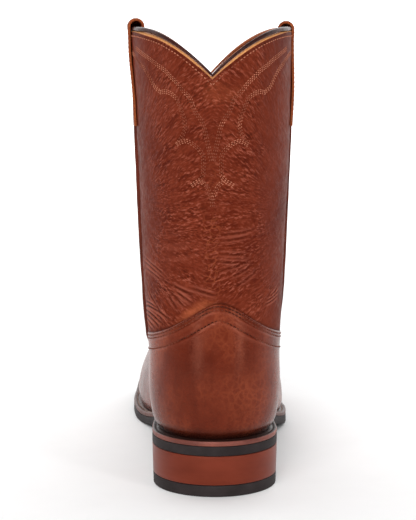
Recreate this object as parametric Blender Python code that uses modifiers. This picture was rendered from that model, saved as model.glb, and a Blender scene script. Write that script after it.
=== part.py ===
"""Western boot for the right foot, roper style: short straight shaft, V-scalloped collar, low block heel.

Sizes are in millimetres and become metres in the mesh helpers. While the boot is worked out, y = 0 is the back
edge of the sole and y grows towards the toe, x = 0 is the heel's centre line with the outer (lateral) side at +x,
and z = 0 is the floor. The finished pieces are moved so that the origin lies under the middle of the boot.
"""

import math

import bmesh
import bpy
from mathutils import Vector

MM = 0.001
GAP = 0.3

# Driving dimensions
LENGTH = 302.0
BALL_WIDTH = 103.0
HEEL_WIDTH = 74.0
WALL = 2.2
OVERLAY = 1.4
OVERLAY_GAP = 0.3
OVERLAY_START_LEVEL = 0.2

# Sole stack, from the floor up
HEEL_CAP = 6.8
SEAT = 24.3
OUTSOLE = 5.4
WELT = 2.9
INSOLE = 5.0
STACK = OUTSOLE + GAP + WELT + GAP
SOLE_EDGE_CHAMFER = 0.5

# Lengths along the foot where the sole changes its run
BREAST_TOP = 74.0
BREAST_FOOT = 70.0
BREAST_HOLLOW = 3.0
TREAD_START = 188.0
TREAD_END = 216.0
TOE_SPRING = 11.0
HEEL_TAPER = 0.6

# Collar, overlays and trim
COLLAR_SIDE = 265.6
COLLAR_BACK = 239.4
COLLAR_FRONT = 236.5
COLLAR_BACK_TURN = math.radians(-3.0)
SCALLOP_POWER = 1.75
COUNTER_SIDE = 87.5
COUNTER_PEAK = 111.2
COUNTER_HUMP_SHARE = 0.6
COUNTER_HUMP_REACH = math.radians(21.0)
COUNTER_SLOPE_REACH = math.radians(66.0)
COUNTER_HUMP_SHIFT = math.radians(1.5)
VAMP_SIDE = 86.0
VAMP_TONGUE = 152.0
SEAM_HALF_WIDTH = 1.5
SEAM_BOTTOM = 80.0
SEAM_TOP = 207.0
SEAM_OPENS_OVER = 10.0
SIDE_Y = 71.5
SIDE_Y_AT_SOLE = 80.0
SIDE_STRAIGHT_FROM = 6.0
BINDING_RADIUS = 1.4
BINDING_INSET = 1.5
STRAP_HALF_WIDTH = 13.0
STRAP_THICKNESS = 1.8
STRAP_BOW = 100.0

# Mesh fineness
ACROSS = {"counter": 20, "vamp": 34}
LEVELS_UNDER_OVERLAY = 14
LEVELS_ABOVE_OVERLAY = 7
COLLAR_STEPS = 56
SOLE_STATIONS = 44

# Plan of the sole: where each half-width is measured, and the half-widths
STATIONS = {"heel": 35.0, "waist": 112.0, "ball": 200.0, "toe": 258.0}
SOLE_HALF = {
    "heel": HEEL_WIDTH / 2,
    "waist": 0.445 * HEEL_WIDTH,
    "ball": BALL_WIDTH / 2,
    "toe": 0.462 * BALL_WIDTH,
}
SOLE_BACK_ROUND = 37.0
SOLE_FRONT_ROUND = 44.0
SOLE_TOE_POWER = 2.8
TOE_DRAW = 1.6

# The last's centre line: how far it lies to the outer side at each length along the foot
CENTRE_LINE = ((45.0, 0.0), (125.0, 5.0), (160.0, 5.5), (235.0, -0.6), (302.0, -2.5))

# Sections of the upper, from the feather line to above the collar. Each row is one ring that runs from a point
# on the back seam to a point on the front ridge. Half-widths are measured at the sole's stations, the end rounds
# are shares of the ring's length, follow is how much the ring copies the sole's curve, and swing how much of the
# last's centre line it keeps.
RING_COLUMNS = (
    "back_y", "back_z", "front_y", "front_z", "heel", "waist", "ball", "toe",
    "back_round", "front_round", "front_power", "follow", "swing",
)
RINGS = (
    (6.5, 33.2, 295.5, 18.6, 31.5, 30.0, 45.0, 42.0, 0.120, 0.145, 2.80, 1.00, 1.00),
    (3.6, 40.0, 297.0, 25.5, 34.9, 34.0, 46.5, 42.4, 0.125, 0.150, 2.70, 0.95, 1.00),
    (2.3, 50.0, 295.5, 35.5, 36.6, 36.3, 45.0, 40.0, 0.128, 0.165, 2.60, 0.85, 1.00),
    (2.0, 60.0, 289.0, 43.5, 37.2, 37.4, 41.5, 36.5, 0.132, 0.195, 2.45, 0.70, 0.95),
    (2.5, 70.0, 276.0, 50.0, 37.6, 37.9, 36.8, 33.5, 0.140, 0.240, 2.30, 0.55, 0.90),
    (3.8, 80.0, 255.0, 57.0, 38.2, 38.0, 33.0, 31.0, 0.155, 0.305, 2.15, 0.40, 0.80),
    (5.6, 91.0, 229.0, 66.5, 39.0, 38.3, 31.5, 31.0, 0.180, 0.385, 2.00, 0.28, 0.65),
    (7.5, 103.0, 200.0, 79.0, 40.0, 39.3, 34.5, 34.5, 0.225, 0.455, 2.00, 0.18, 0.45),
    (9.0, 117.0, 172.0, 96.0, 41.3, 41.0, 38.5, 38.5, 0.300, 0.520, 2.00, 0.10, 0.28),
    (10.0, 133.0, 152.5, 117.0, 42.4, 42.4, 42.0, 42.0, 0.400, 0.540, 2.00, 0.04, 0.12),
    (9.6, 152.0, 140.5, 141.0, 43.4, 43.4, 43.4, 43.4, 0.470, 0.520, 2.00, 0.00, 0.00),
    (8.0, 175.0, 136.0, 169.0, 44.4, 44.4, 44.4, 44.4, 0.500, 0.500, 2.00, 0.00, 0.00),
    (6.0, 205.0, 136.5, 203.0, 45.6, 45.6, 45.6, 45.6, 0.500, 0.500, 2.00, 0.00, 0.00),
    (3.5, 240.0, 139.5, 240.0, 46.6, 46.6, 46.6, 46.6, 0.500, 0.500, 2.00, 0.00, 0.00),
    (2.0, 272.0, 142.0, 272.0, 47.2, 47.2, 47.2, 47.2, 0.500, 0.500, 2.00, 0.00, 0.00),
)
TOP_LEVEL = len(RINGS) - 1

# Pull strap, seen from behind: distance of its middle line out from the shaft's side, and height
STRAP_COLUMNS = ("out", "z")
STRAP_OUTER_LEG = ((1.2, 210.0), (1.5, 228.0), (2.0, 248.0), (2.0, 260.0))
STRAP_ARCH = {"middle": -2.1, "z": 268.1, "radius": 4.1, "steps": 8}
STRAP_INNER_LEG = ((-6.2, 260.0), (-5.4, 248.0), (-4.6, 232.0), (-3.9, 216.0))

# Finish of each material: colour, roughness
FINISHES = {
    "brown_leather": ((0.19, 0.045, 0.024), 0.42),
    "dark_binding": ((0.035, 0.014, 0.012), 0.35),
    "strap_leather": ((0.24, 0.062, 0.024), 0.45),
    "welt_leather": ((0.22, 0.075, 0.05), 0.5),
    "black_rubber": ((0.028, 0.024, 0.024), 0.6),
    "heel_paint": ((0.19, 0.048, 0.028), 0.38),
    "insole_leather": ((0.35, 0.2, 0.1), 0.7),
}


def smooth(share):
    """Ease from 0 to 1 with level ends."""
    share = min(max(share, 0.0), 1.0)
    return share * share * (3 - 2 * share)


def eased(points, at):
    """Value at a place on a line of (place, value) points, level at each point."""
    for (a, low), (b, high) in zip(points, points[1:]):
        if at <= b:
            return low + (high - low) * smooth((at - a) / (b - a))
    return points[-1][1]


def rounded_end(distance, reach, power):
    """Share of the full width at a distance from the end of an outline, 0 at the tip and 1 past the reach."""
    share = min(max(distance / reach, 0.0), 1.0)
    return (1 - (1 - share) ** power) ** (1 / power)


def centre_line(y):
    return eased(CENTRE_LINE, y)


def sole_z(y):
    """Height of the outsole's underside: level seat, arch down to the tread, toe spring."""
    if y < TREAD_START:
        return SEAT * (1 - smooth((y - BREAST_TOP) / (TREAD_START - BREAST_TOP)))
    return TOE_SPRING * (max(y - TREAD_END, 0.0) / (LENGTH - TREAD_END)) ** 2


def half_width(halves, y):
    """Half-width at a length along the foot, level at heel, waist and ball and drawing in towards the toe."""
    points = [(STATIONS[name], halves[name]) for name in STATIONS]
    (ball, wide), (toe, narrow) = points[-2:]
    if y <= ball:
        return eased(points, max(y, points[0][0]))
    slope = TOE_DRAW * (narrow - wide) / (toe - ball)
    if y > toe:
        return narrow + slope * (y - toe)
    share = (y - ball) / (toe - ball)
    return wide + (narrow - wide) * smooth(share) + slope * (toe - ball) * (share**3 - share**2)


def sole_outline(angle, inset=0.0):
    """Point of the sole's plan. The angle is 0 at the heel's back, positive round the outer side, pi at the toe."""
    along = (1 - math.cos(angle)) / 2
    run = LENGTH - 2 * inset
    y = inset + run * along
    half = half_width(SOLE_HALF, y) - inset
    half *= rounded_end(run * along, SOLE_BACK_ROUND - inset, 2.0)
    half *= rounded_end(run * (1 - along), SOLE_FRONT_ROUND - inset, SOLE_TOE_POWER)
    return centre_line(y) + math.copysign(half, math.sin(angle)), y


def ring_at(level):
    """The upper's section at a level, smoothly between the table's rows."""
    first = min(int(level), TOP_LEVEL - 1)
    f = level - first
    rows = [RINGS[min(max(first + step, 0), TOP_LEVEL)] for step in (-1, 0, 1, 2)]
    weights = (
        0.5 * (-f + 2 * f**2 - f**3),
        0.5 * (2 - 5 * f**2 + 3 * f**3),
        0.5 * (f + 4 * f**2 - 3 * f**3),
        0.5 * (f**3 - f**2),
    )
    values = [sum(w * v for w, v in zip(weights, column)) for column in zip(*rows)]
    return dict(zip(RING_COLUMNS, values))


def feather_chord(y):
    """Height of the straight line between the two ends of the feather line."""
    first = dict(zip(RING_COLUMNS, RINGS[0]))
    along = (y - first["back_y"]) / (first["front_y"] - first["back_y"])
    return first["back_z"] + (first["front_z"] - first["back_z"]) * along


def skin_at(angle, level):
    """Point of the upper's outer surface. Angles run as in sole_outline."""
    ring = ring_at(level)
    run = ring["front_y"] - ring["back_y"]
    along = (1 - math.cos(angle)) / 2
    y = ring["back_y"] + run * along
    z = ring["back_z"] + (ring["front_z"] - ring["back_z"]) * along
    z += ring["follow"] * (sole_z(y) + STACK - feather_chord(y))
    half = half_width(ring, y)
    half *= rounded_end(run * along, run * ring["back_round"], 2.0)
    half *= rounded_end(run * (1 - along), run * ring["front_round"], ring["front_power"])
    return Vector((centre_line(y) * ring["swing"] + math.copysign(half, math.sin(angle)), y, z))


def skin(angle, level, out=0.0):
    """Point at a distance out from the upper's outer surface, along its normal."""
    point = skin_at(angle, level)
    if not out:
        return point
    step = 0.01
    low, high = max(level - step, 0.0), min(level + step, TOP_LEVEL)
    around = skin_at(angle + step, level) - skin_at(angle - step, level)
    up = skin_at(angle, high) - skin_at(angle, low)
    return point + around.cross(up).normalized() * out


def level_of(angle, z):
    """Level at which the skin reaches a height at this angle."""
    low, high = 0.0, float(TOP_LEVEL)
    for _ in range(40):
        middle = (low + high) / 2
        if skin_at(angle, middle).z < z:
            low = middle
        else:
            high = middle
    return (low + high) / 2


def collar_z(angle):
    """Height of the collar: peaks at the side seams, V dips at back and front."""
    dip = COLLAR_FRONT
    if math.cos(angle) > 0:
        dip = COLLAR_BACK
        angle -= COLLAR_BACK_TURN
    rise = 1 - (1 - abs(math.sin(angle))) ** SCALLOP_POWER
    return dip + (COLLAR_SIDE - dip) * rise


def collar_point(angle, inset=0.0):
    return skin(angle, level_of(angle, collar_z(angle)), -inset)


def collar_stretch(angle):
    """Upright distance across a bead of width 1 that lies square on the sloping collar."""
    here = collar_point(angle)
    slopes = []
    for step in (-0.05, 0.05):
        way = collar_point(angle + step) - here
        slopes.append(abs(way.z) / way.to_2d().length)
    return math.hypot(1.0, max(slopes))


def side_angle(level):
    """Angle of the side seam, which leans forward towards the sole."""
    ring = ring_at(level)
    lean = max(1 - level / SIDE_STRAIGHT_FROM, 0.0)
    y = SIDE_Y + (SIDE_Y_AT_SOLE - SIDE_Y) * lean
    along = (y - ring["back_y"]) / (ring["front_y"] - ring["back_y"])
    return math.acos(1 - 2 * along)


def side_margin(level):
    """Angle kept free beside the side seam: a thin joint low down, room for the raised seam above."""
    angle = side_angle(level)
    step = 0.01
    arc = (skin_at(angle + step, level) - skin_at(angle - step, level)).length / (2 * step)
    opens = smooth((skin_at(angle, level).z - SEAM_BOTTOM + SEAM_OPENS_OVER) / SEAM_OPENS_OVER)
    return (GAP + SEAM_HALF_WIDTH * opens) / arc


def counter_top(angle):
    """Height of the counter's top edge: a rounded hump on a slope down to the side seams."""
    turn = abs(angle - COUNTER_HUMP_SHIFT)
    hump = math.exp(-((turn / COUNTER_HUMP_REACH) ** 2))
    slope = math.cos(min(turn / COUNTER_SLOPE_REACH, 1.0) * math.pi / 2) ** 2
    rise = COUNTER_HUMP_SHARE * hump + (1 - COUNTER_HUMP_SHARE) * slope
    return COUNTER_SIDE + (COUNTER_PEAK - COUNTER_SIDE) * rise


def vamp_top(angle, level):
    """Height of the vamp's top edge, from the side seams up to the tongue at the front."""
    share = (angle - math.pi) / (math.pi - side_angle(level))
    tongue = (0.5 + 0.5 * math.cos(math.pi * share)) ** 2
    return VAMP_SIDE + (VAMP_TONGUE - VAMP_SIDE) * tongue


def panel_angle(panel, share, level):
    """Angle on the counter's or vamp's half of the upper, with share -1 and 1 at its side edges."""
    edge = side_angle(level)
    if panel == "counter":
        return share * (edge - side_margin(level))
    return math.pi + share * (math.pi - edge - side_margin(level))


def panel_level(panel, share, height):
    """Level at which a line up the panel reaches the height, a function of angle and level."""
    level = SIDE_STRAIGHT_FROM
    for _ in range(12):
        angle = panel_angle(panel, share, level)
        level = level_of(angle, height(angle, level))
    return level


def overlay_level(panel, share):
    if panel == "counter":
        return panel_level(panel, share, lambda angle, level: counter_top(angle))
    return panel_level(panel, share, vamp_top)


def panel_shares(panel):
    """Lines up the panel. The counter's middle line runs up to the V dip of the collar."""
    shares = [2 * i / ACROSS[panel] - 1 for i in range(ACROSS[panel] + 1)]
    if panel == "vamp":
        return shares
    collar = float(TOP_LEVEL)
    turn = COLLAR_BACK_TURN / (side_angle(collar) - side_margin(collar))
    return [share + turn * (1 - share**2) for share in shares]


def frame_shift():
    """Puts the origin under the middle of the boot's box, whose sides are the sole's."""
    edge = [sole_outline(math.pi * i / 180)[0] for i in range(-180, 181)]
    return Vector((-(max(edge) + min(edge)) / 2, -LENGTH / 2, 0.0))


def material(name):
    found = bpy.data.materials.get(name)
    if found:
        return found
    colour, roughness = FINISHES[name]
    made = bpy.data.materials.new(name)
    made.use_nodes = True
    shader = made.node_tree.nodes["Principled BSDF"]
    shader.inputs["Base Color"].default_value = (*colour, 1.0)
    shader.inputs["Roughness"].default_value = roughness
    return made


def add_object(name, mesh, finish, collection):
    mesh.materials.append(material(finish))
    mesh.shade_smooth()
    mesh.set_sharp_from_angle(angle=math.radians(40))
    made = bpy.data.objects.new(name, mesh)
    collection.objects.link(made)
    return made


def sheet_mesh(name, rows, closed):
    """Open surface through rows of points. A closed sheet joins each row's end to its start."""
    bm = bmesh.new()
    grid = [[bm.verts.new((point + SHIFT) * MM) for point in row] for row in rows]
    count = len(rows[0])
    for low, high in zip(grid, grid[1:]):
        for i in range(count if closed else count - 1):
            j = (i + 1) % count
            bm.faces.new((low[i], low[j], high[j], high[i]))
    mesh = bpy.data.meshes.new(name)
    bm.to_mesh(mesh)
    bm.free()
    return mesh


def loft_mesh(name, loops, ring=False):
    """Solid through loops of points: capped at both ends, or joined end to end as a ring."""
    bm = bmesh.new()
    grid = [[bm.verts.new((Vector(point) + SHIFT) * MM) for point in loop] for loop in loops]
    count = len(loops[0])
    pairs = list(zip(grid, grid[1:]))
    if ring:
        pairs.append((grid[-1], grid[0]))
    else:
        bm.faces.new(grid[0])
        bm.faces.new(reversed(grid[-1]))
    for low, high in pairs:
        for i in range(count):
            j = (i + 1) % count
            bm.faces.new((low[i], high[i], high[j], low[j]))
    bmesh.ops.recalc_face_normals(bm, faces=bm.faces)
    mesh = bpy.data.meshes.new(name)
    bm.to_mesh(mesh)
    bm.free()
    return mesh


def thicken(made, thickness, outwards):
    wall = made.modifiers.new("wall", "SOLIDIFY")
    wall.thickness = thickness * MM
    wall.offset = 1.0 if outwards else -1.0
    wall.use_even_offset = True
    wall.use_quality_normals = True


def between(low, high, steps):
    return [low + (high - low) * i / steps for i in range(steps + 1)]


def make_upper(collection):
    """Shaft and foot as one wall, open at the collar and underneath."""
    columns = []
    for panel in ACROSS:
        for share in panel_shares(panel):
            edge = overlay_level(panel, share)
            collar = panel_level(panel, share, lambda angle, level: collar_z(angle))
            levels = between(0.0, edge, LEVELS_UNDER_OVERLAY)
            levels += between(edge, collar, LEVELS_ABOVE_OVERLAY)[1:]
            columns.append([skin(panel_angle(panel, share, level), level) for level in levels])
    rows = [list(row) for row in zip(*columns)]
    upper = add_object("upper", sheet_mesh("upper", rows, True), "brown_leather", collection)
    thicken(upper, WALL, outwards=False)


def make_overlay(panel, collection):
    """Leather overlay that lies just off the upper, from the sole to its own top edge."""
    columns = []
    for share in panel_shares(panel):
        levels = between(0.0, overlay_level(panel, share), LEVELS_UNDER_OVERLAY)
        levels[0] = OVERLAY_START_LEVEL
        columns.append([skin(panel_angle(panel, share, level), level, OVERLAY_GAP) for level in levels])
    rows = [list(row) for row in zip(*columns)]
    overlay = add_object(panel, sheet_mesh(panel, rows, False), "brown_leather", collection)
    thicken(overlay, OVERLAY, outwards=True)


def make_side_seam(name, side, collection):
    """Raised strip along the shaft's side, from the overlays up to the pull strap."""
    steps = 14
    rows = []
    for i in range(steps + 1):
        z = SEAM_BOTTOM + (SEAM_TOP - SEAM_BOTTOM) * i / steps
        level = SIDE_STRAIGHT_FROM
        for _ in range(12):
            level = level_of(side_angle(level), z)
        angle = side_angle(level)
        spread = (skin_at(angle + 0.01, level) - skin_at(angle - 0.01, level)).length / 0.02
        turns = [angle + offset * SEAM_HALF_WIDTH / spread for offset in (-1, 0, 1)]
        rows.append([skin(side * turn, level, OVERLAY_GAP) for turn in turns[::side]])
    seam = add_object(name, sheet_mesh(name, rows, False), "strap_leather", collection)
    thicken(seam, OVERLAY, outwards=True)


def make_binding(collection):
    """Rolled bead on the collar's edge, just inside the raw edge of the outer leather."""
    curve = bpy.data.curves.new("collar_binding", "CURVE")
    curve.dimensions = "3D"
    curve.bevel_depth = BINDING_RADIUS * MM
    curve.bevel_resolution = 1
    line = curve.splines.new("POLY")
    half = COLLAR_STEPS // 2
    angles = between(COLLAR_BACK_TURN, math.pi, half)[:-1]
    angles += between(math.pi, 2 * math.pi + COLLAR_BACK_TURN, half)[:-1]
    line.points.add(len(angles) - 1)
    for point, angle in zip(line.points, angles):
        place = collar_point(angle, BINDING_INSET)
        place.z = collar_z(angle) + (BINDING_RADIUS + GAP) * collar_stretch(angle)
        point.co = (*((place + SHIFT) * MM), 1.0)
    line.use_cyclic_u = True
    guide = bpy.data.objects.new("collar_binding_guide", curve)
    collection.objects.link(guide)
    mesh = bpy.data.meshes.new_from_object(guide.evaluated_get(bpy.context.evaluated_depsgraph_get()))
    bpy.data.objects.remove(guide)
    add_object("collar_binding", mesh, "dark_binding", collection)


def strap_side_x(side, z):
    level = level_of(side * math.pi / 2, z)
    return skin_at(side * math.pi / 2, level).x


def strap_path(side):
    """Middle line of a pull strap, up the outside of the shaft, over the collar and down inside."""
    middle, top = STRAP_ARCH["middle"], STRAP_ARCH["z"]
    path = [(strap_side_x(side, z) + side * out, z) for out, z in STRAP_OUTER_LEG]
    base = strap_side_x(side, top)
    for i in range(STRAP_ARCH["steps"] + 1):
        turn = math.pi * i / STRAP_ARCH["steps"]
        out = middle + STRAP_ARCH["radius"] * math.cos(turn)
        path.append((base + side * out, top + STRAP_ARCH["radius"] * math.sin(turn)))
    path += [(strap_side_x(side, z) + side * out, z) for out, z in STRAP_INNER_LEG]
    return path


def make_pull_strap(name, side, collection):
    path = strap_path(side)
    loops = []
    for i, (x, z) in enumerate(path):
        before, after = path[max(i - 1, 0)], path[min(i + 1, len(path) - 1)]
        run = Vector((after[0] - before[0], after[1] - before[1])).normalized()
        normal = Vector((-run.y, run.x)) * STRAP_THICKNESS / 2
        outer, inner = [], []
        for offset in (-1.0, -0.5, 0.0, 0.5, 1.0):
            across = offset * STRAP_HALF_WIDTH
            sag = side * across**2 / (2 * STRAP_BOW)
            outer.append((x + normal.x - sag, SIDE_Y + across, z + normal.y))
            inner.append((x - normal.x - sag, SIDE_Y + across, z - normal.y))
        loops.append(outer + inner[::-1])
    add_object(name, loft_mesh(name, loops), "strap_leather", collection)


def sole_angles():
    return [math.pi * (i + 0.5) / SOLE_STATIONS for i in range(SOLE_STATIONS)]


def plate_loops(outline, low, high, chamfer=0.0):
    """Cross-sections of a plate that bends along the sole, from heel to toe."""
    loops = []
    for angle in sole_angles():
        outer, y = outline(angle)
        inner, _ = outline(-angle)
        z = sole_z(y)
        cut = min(chamfer, (outer - inner) / 4)
        loops.append([
            (outer - cut, y, z + low),
            (outer, y, z + low + chamfer),
            (outer, y, z + high),
            (inner, y, z + high),
            (inner, y, z + low + chamfer),
            (inner + cut, y, z + low),
        ])
    return loops


def insole_outline(angle, spread=0.0):
    """Plan just inside the upper's wall at the feather line."""
    place = skin_at(angle, 0.0)
    ahead, behind = skin_at(angle + 0.01, 0.0), skin_at(angle - 0.01, 0.0)
    run = Vector((ahead.x - behind.x, ahead.y - behind.y)).normalized()
    inset = WALL + 2 * GAP - spread
    return place.x - run.y * inset, place.y + run.x * inset


def make_outsole(collection):
    loops = plate_loops(sole_outline, 0.0, OUTSOLE, SOLE_EDGE_CHAMFER)
    add_object("outsole", loft_mesh("outsole", loops), "black_rubber", collection)


def make_insole(collection):
    loops = plate_loops(insole_outline, OUTSOLE + GAP, OUTSOLE + GAP + INSOLE, GAP)
    add_object("insole", loft_mesh("insole", loops), "insole_leather", collection)


def make_welt(collection):
    """Strip all round between the outsole and the upper's wall."""
    loops = []
    for angle in sole_angles() + [-angle for angle in reversed(sole_angles())]:
        outer_x, outer_y = sole_outline(angle)
        inner_x, inner_y = insole_outline(angle, GAP)
        low = OUTSOLE + GAP
        loops.append([
            (outer_x, outer_y, sole_z(outer_y) + low),
            (outer_x, outer_y, sole_z(outer_y) + low + WELT),
            (inner_x, inner_y, sole_z(inner_y) + low + WELT),
            (inner_x, inner_y, sole_z(inner_y) + low),
        ])
    add_object("welt", loft_mesh("welt", loops, ring=True), "welt_leather", collection)


def heel_loop(z, chamfer=0.0):
    """Outline of the heel at a height: round the back, hollow at the breast, tapering towards the floor."""
    drop = (SEAT - z) / SEAT
    inset = HEEL_TAPER * drop + chamfer
    breast = BREAST_TOP + (BREAST_FOOT - BREAST_TOP) * drop - chamfer
    reach = math.acos(1 - 2 * (breast - inset) / (LENGTH - 2 * inset))
    steps = 22
    loop = [sole_outline(reach * (2 * i / steps - 1), inset) for i in range(steps + 1)]
    (left, _), (right, _) = loop[0], loop[-1]
    breast_steps = 6
    for i in range(1, breast_steps):
        share = i / breast_steps
        hollow = BREAST_HOLLOW * (1 - (2 * share - 1) ** 2)
        loop.append((right + (left - right) * share, breast - hollow))
    return [(x, y, z) for x, y in loop]


def make_heel(collection):
    block = [heel_loop(HEEL_CAP + GAP / 2), heel_loop(SEAT - GAP)]
    add_object("heel_block", loft_mesh("heel_block", block), "heel_paint", collection)
    edge = SOLE_EDGE_CHAMFER
    cap = [heel_loop(0.0, edge), heel_loop(edge), heel_loop(HEEL_CAP - GAP / 2)]
    add_object("heel_cap", loft_mesh("heel_cap", cap), "black_rubber", collection)


def main():
    for old in list(bpy.data.objects):
        bpy.data.objects.remove(old)
    boot = bpy.data.collections.new("western_boot")
    bpy.context.scene.collection.children.link(boot)
    make_upper(boot)
    for panel in ACROSS:
        make_overlay(panel, boot)
    for name, side in (("lateral", 1), ("medial", -1)):
        make_side_seam(f"side_seam_{name}", side, boot)
        make_pull_strap(f"pull_strap_{name}", side, boot)
    make_binding(boot)
    make_welt(boot)
    make_outsole(boot)
    make_insole(boot)
    make_heel(boot)


SHIFT = frame_shift()
main()
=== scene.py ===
# %% [markdown]
# A western boot, dressed piece by piece
#
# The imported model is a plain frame: thirteen solids that say where everything is. This lesson puts
# leather, thread, rubber and light over it. Each cell makes one thing, and the sizes are millimetres
# until a mesh is written.

import math

import bpy
import numpy as np
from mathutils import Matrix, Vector, kdtree, noise


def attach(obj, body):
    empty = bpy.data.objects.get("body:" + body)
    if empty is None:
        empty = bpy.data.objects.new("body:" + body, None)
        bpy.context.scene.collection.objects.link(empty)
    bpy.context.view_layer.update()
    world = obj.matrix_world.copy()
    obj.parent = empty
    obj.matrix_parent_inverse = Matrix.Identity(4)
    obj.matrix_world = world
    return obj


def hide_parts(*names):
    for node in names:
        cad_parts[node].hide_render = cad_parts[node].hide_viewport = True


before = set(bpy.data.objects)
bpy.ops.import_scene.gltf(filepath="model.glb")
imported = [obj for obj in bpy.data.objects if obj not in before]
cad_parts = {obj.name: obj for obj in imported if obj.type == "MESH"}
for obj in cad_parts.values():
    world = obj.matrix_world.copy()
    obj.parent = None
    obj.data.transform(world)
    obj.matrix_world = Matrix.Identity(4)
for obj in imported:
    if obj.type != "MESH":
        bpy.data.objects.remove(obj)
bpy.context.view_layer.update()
print("nodes in the frame:", ", ".join(sorted(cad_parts)))

# %% [markdown]
# The shape of the last
#
# A shoe is made over a last, a solid foot form, and the leather copies it. The frame's upper was drawn
# from a short table of rings, so the leather here is drawn from the same table and the same rules, only
# much more finely. The other way would be to subdivide the frame's mesh, but then edges and seams would
# have no exact place.

# %% Sizes of the boot
MM = 0.001
GAP = 0.3
LENGTH = 302.0
BALL_WIDTH = 103.0
HEEL_WIDTH = 74.0
WALL = 2.2
OVERLAY = 1.4
HEEL_CAP = 6.8
SEAT = 24.3
OUTSOLE = 5.4
WELT = 2.9
INSOLE = 5.0
STACK = OUTSOLE + GAP + WELT + GAP
BREAST_TOP = 74.0
BREAST_FOOT = 70.0
BREAST_HOLLOW = 3.0
TREAD_START = 188.0
TREAD_END = 216.0
TOE_SPRING = 11.0
HEEL_TAPER = 0.6
STATIONS = {"heel": 35.0, "waist": 112.0, "ball": 200.0, "toe": 258.0}
SOLE_HALF = {
    "heel": HEEL_WIDTH / 2,
    "waist": 0.445 * HEEL_WIDTH,
    "ball": BALL_WIDTH / 2,
    "toe": 0.462 * BALL_WIDTH,
}
SOLE_BACK_ROUND = 37.0
SOLE_FRONT_ROUND = 44.0
SOLE_TOE_POWER = 2.8
TOE_DRAW = 1.6
CENTRE_LINE = ((45.0, 0.0), (125.0, 5.0), (160.0, 5.5), (235.0, -0.6), (302.0, -2.5))

RING_COLUMNS = (
    "back_y", "back_z", "front_y", "front_z", "heel", "waist", "ball", "toe",
    "back_round", "front_round", "front_power", "follow", "swing",
)
RINGS = np.array((
    (6.5, 33.2, 295.5, 18.6, 31.5, 30.0, 45.0, 42.0, 0.120, 0.145, 2.80, 1.00, 1.00),
    (3.6, 40.0, 297.0, 25.5, 34.9, 34.0, 46.5, 42.4, 0.125, 0.150, 2.70, 0.95, 1.00),
    (2.3, 50.0, 295.5, 35.5, 36.6, 36.3, 45.0, 40.0, 0.128, 0.165, 2.60, 0.85, 1.00),
    (2.0, 60.0, 289.0, 43.5, 37.2, 37.4, 41.5, 36.5, 0.132, 0.195, 2.45, 0.70, 0.95),
    (2.5, 70.0, 276.0, 50.0, 37.6, 37.9, 36.8, 33.5, 0.140, 0.240, 2.30, 0.55, 0.90),
    (3.8, 80.0, 255.0, 57.0, 38.2, 38.0, 33.0, 31.0, 0.155, 0.305, 2.15, 0.40, 0.80),
    (5.6, 91.0, 229.0, 66.5, 39.0, 38.3, 31.5, 31.0, 0.180, 0.385, 2.00, 0.28, 0.65),
    (7.5, 103.0, 200.0, 79.0, 40.0, 39.3, 34.5, 34.5, 0.225, 0.455, 2.00, 0.18, 0.45),
    (9.0, 117.0, 172.0, 96.0, 41.3, 41.0, 38.5, 38.5, 0.300, 0.520, 2.00, 0.10, 0.28),
    (10.0, 133.0, 152.5, 117.0, 42.4, 42.4, 42.0, 42.0, 0.400, 0.540, 2.00, 0.04, 0.12),
    (9.6, 152.0, 140.5, 141.0, 43.4, 43.4, 43.4, 43.4, 0.470, 0.520, 2.00, 0.00, 0.00),
    (8.0, 175.0, 136.0, 169.0, 44.4, 44.4, 44.4, 44.4, 0.500, 0.500, 2.00, 0.00, 0.00),
    (6.0, 205.0, 136.5, 203.0, 45.6, 45.6, 45.6, 45.6, 0.500, 0.500, 2.00, 0.00, 0.00),
    (3.5, 240.0, 139.5, 240.0, 46.6, 46.6, 46.6, 46.6, 0.500, 0.500, 2.00, 0.00, 0.00),
    (2.0, 272.0, 142.0, 272.0, 47.2, 47.2, 47.2, 47.2, 0.500, 0.500, 2.00, 0.00, 0.00),
))
TOP_LEVEL = len(RINGS) - 1
print(f"boot {LENGTH:.0f} mm long, {BALL_WIDTH:.0f} mm wide, drawn from {len(RINGS)} rings")


# %% Rules of the sole
def smooth(share):
    """Ease from 0 to 1 with level ends."""
    share = np.clip(share, 0.0, 1.0)
    return share * share * (3 - 2 * share)


def eased(points, at):
    """Value on a line of (place, value) points, level at each point."""
    value = points[0][1] + 0.0 * at
    for (a, low), (b, high) in zip(points, points[1:]):
        value = np.where(at > a, low + (high - low) * smooth((at - a) / (b - a)), value)
    return value


def rounded_end(distance, reach, power):
    """Share of the full width near the end of an outline, 0 at the tip and 1 past the reach."""
    share = np.clip(distance / reach, 0.0, 1.0)
    return (1 - (1 - share) ** power) ** (1 / power)


def sole_z(y):
    """Height of the outsole's underside: level seat, arch, tread, toe spring."""
    arch = SEAT * (1 - smooth((y - BREAST_TOP) / (TREAD_START - BREAST_TOP)))
    spring = TOE_SPRING * (np.maximum(y - TREAD_END, 0.0) / (LENGTH - TREAD_END)) ** 2
    return np.where(y < TREAD_START, arch, spring)


def half_width(halves, y):
    """Half-width along the foot, level at heel, waist and ball and drawing in towards the toe."""
    points = [(STATIONS[name], halves[name]) for name in STATIONS]
    (ball, wide), (toe, narrow) = points[-2:]
    slope = TOE_DRAW * (narrow - wide) / (toe - ball)
    share = np.clip((y - ball) / (toe - ball), 0.0, 1.0)
    drawn = wide + (narrow - wide) * smooth(share) + slope * (toe - ball) * (share**3 - share**2)
    beyond = narrow + slope * (y - toe)
    return np.where(y <= ball, eased(points[:-1], y), np.where(y > toe, beyond, drawn))


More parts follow.
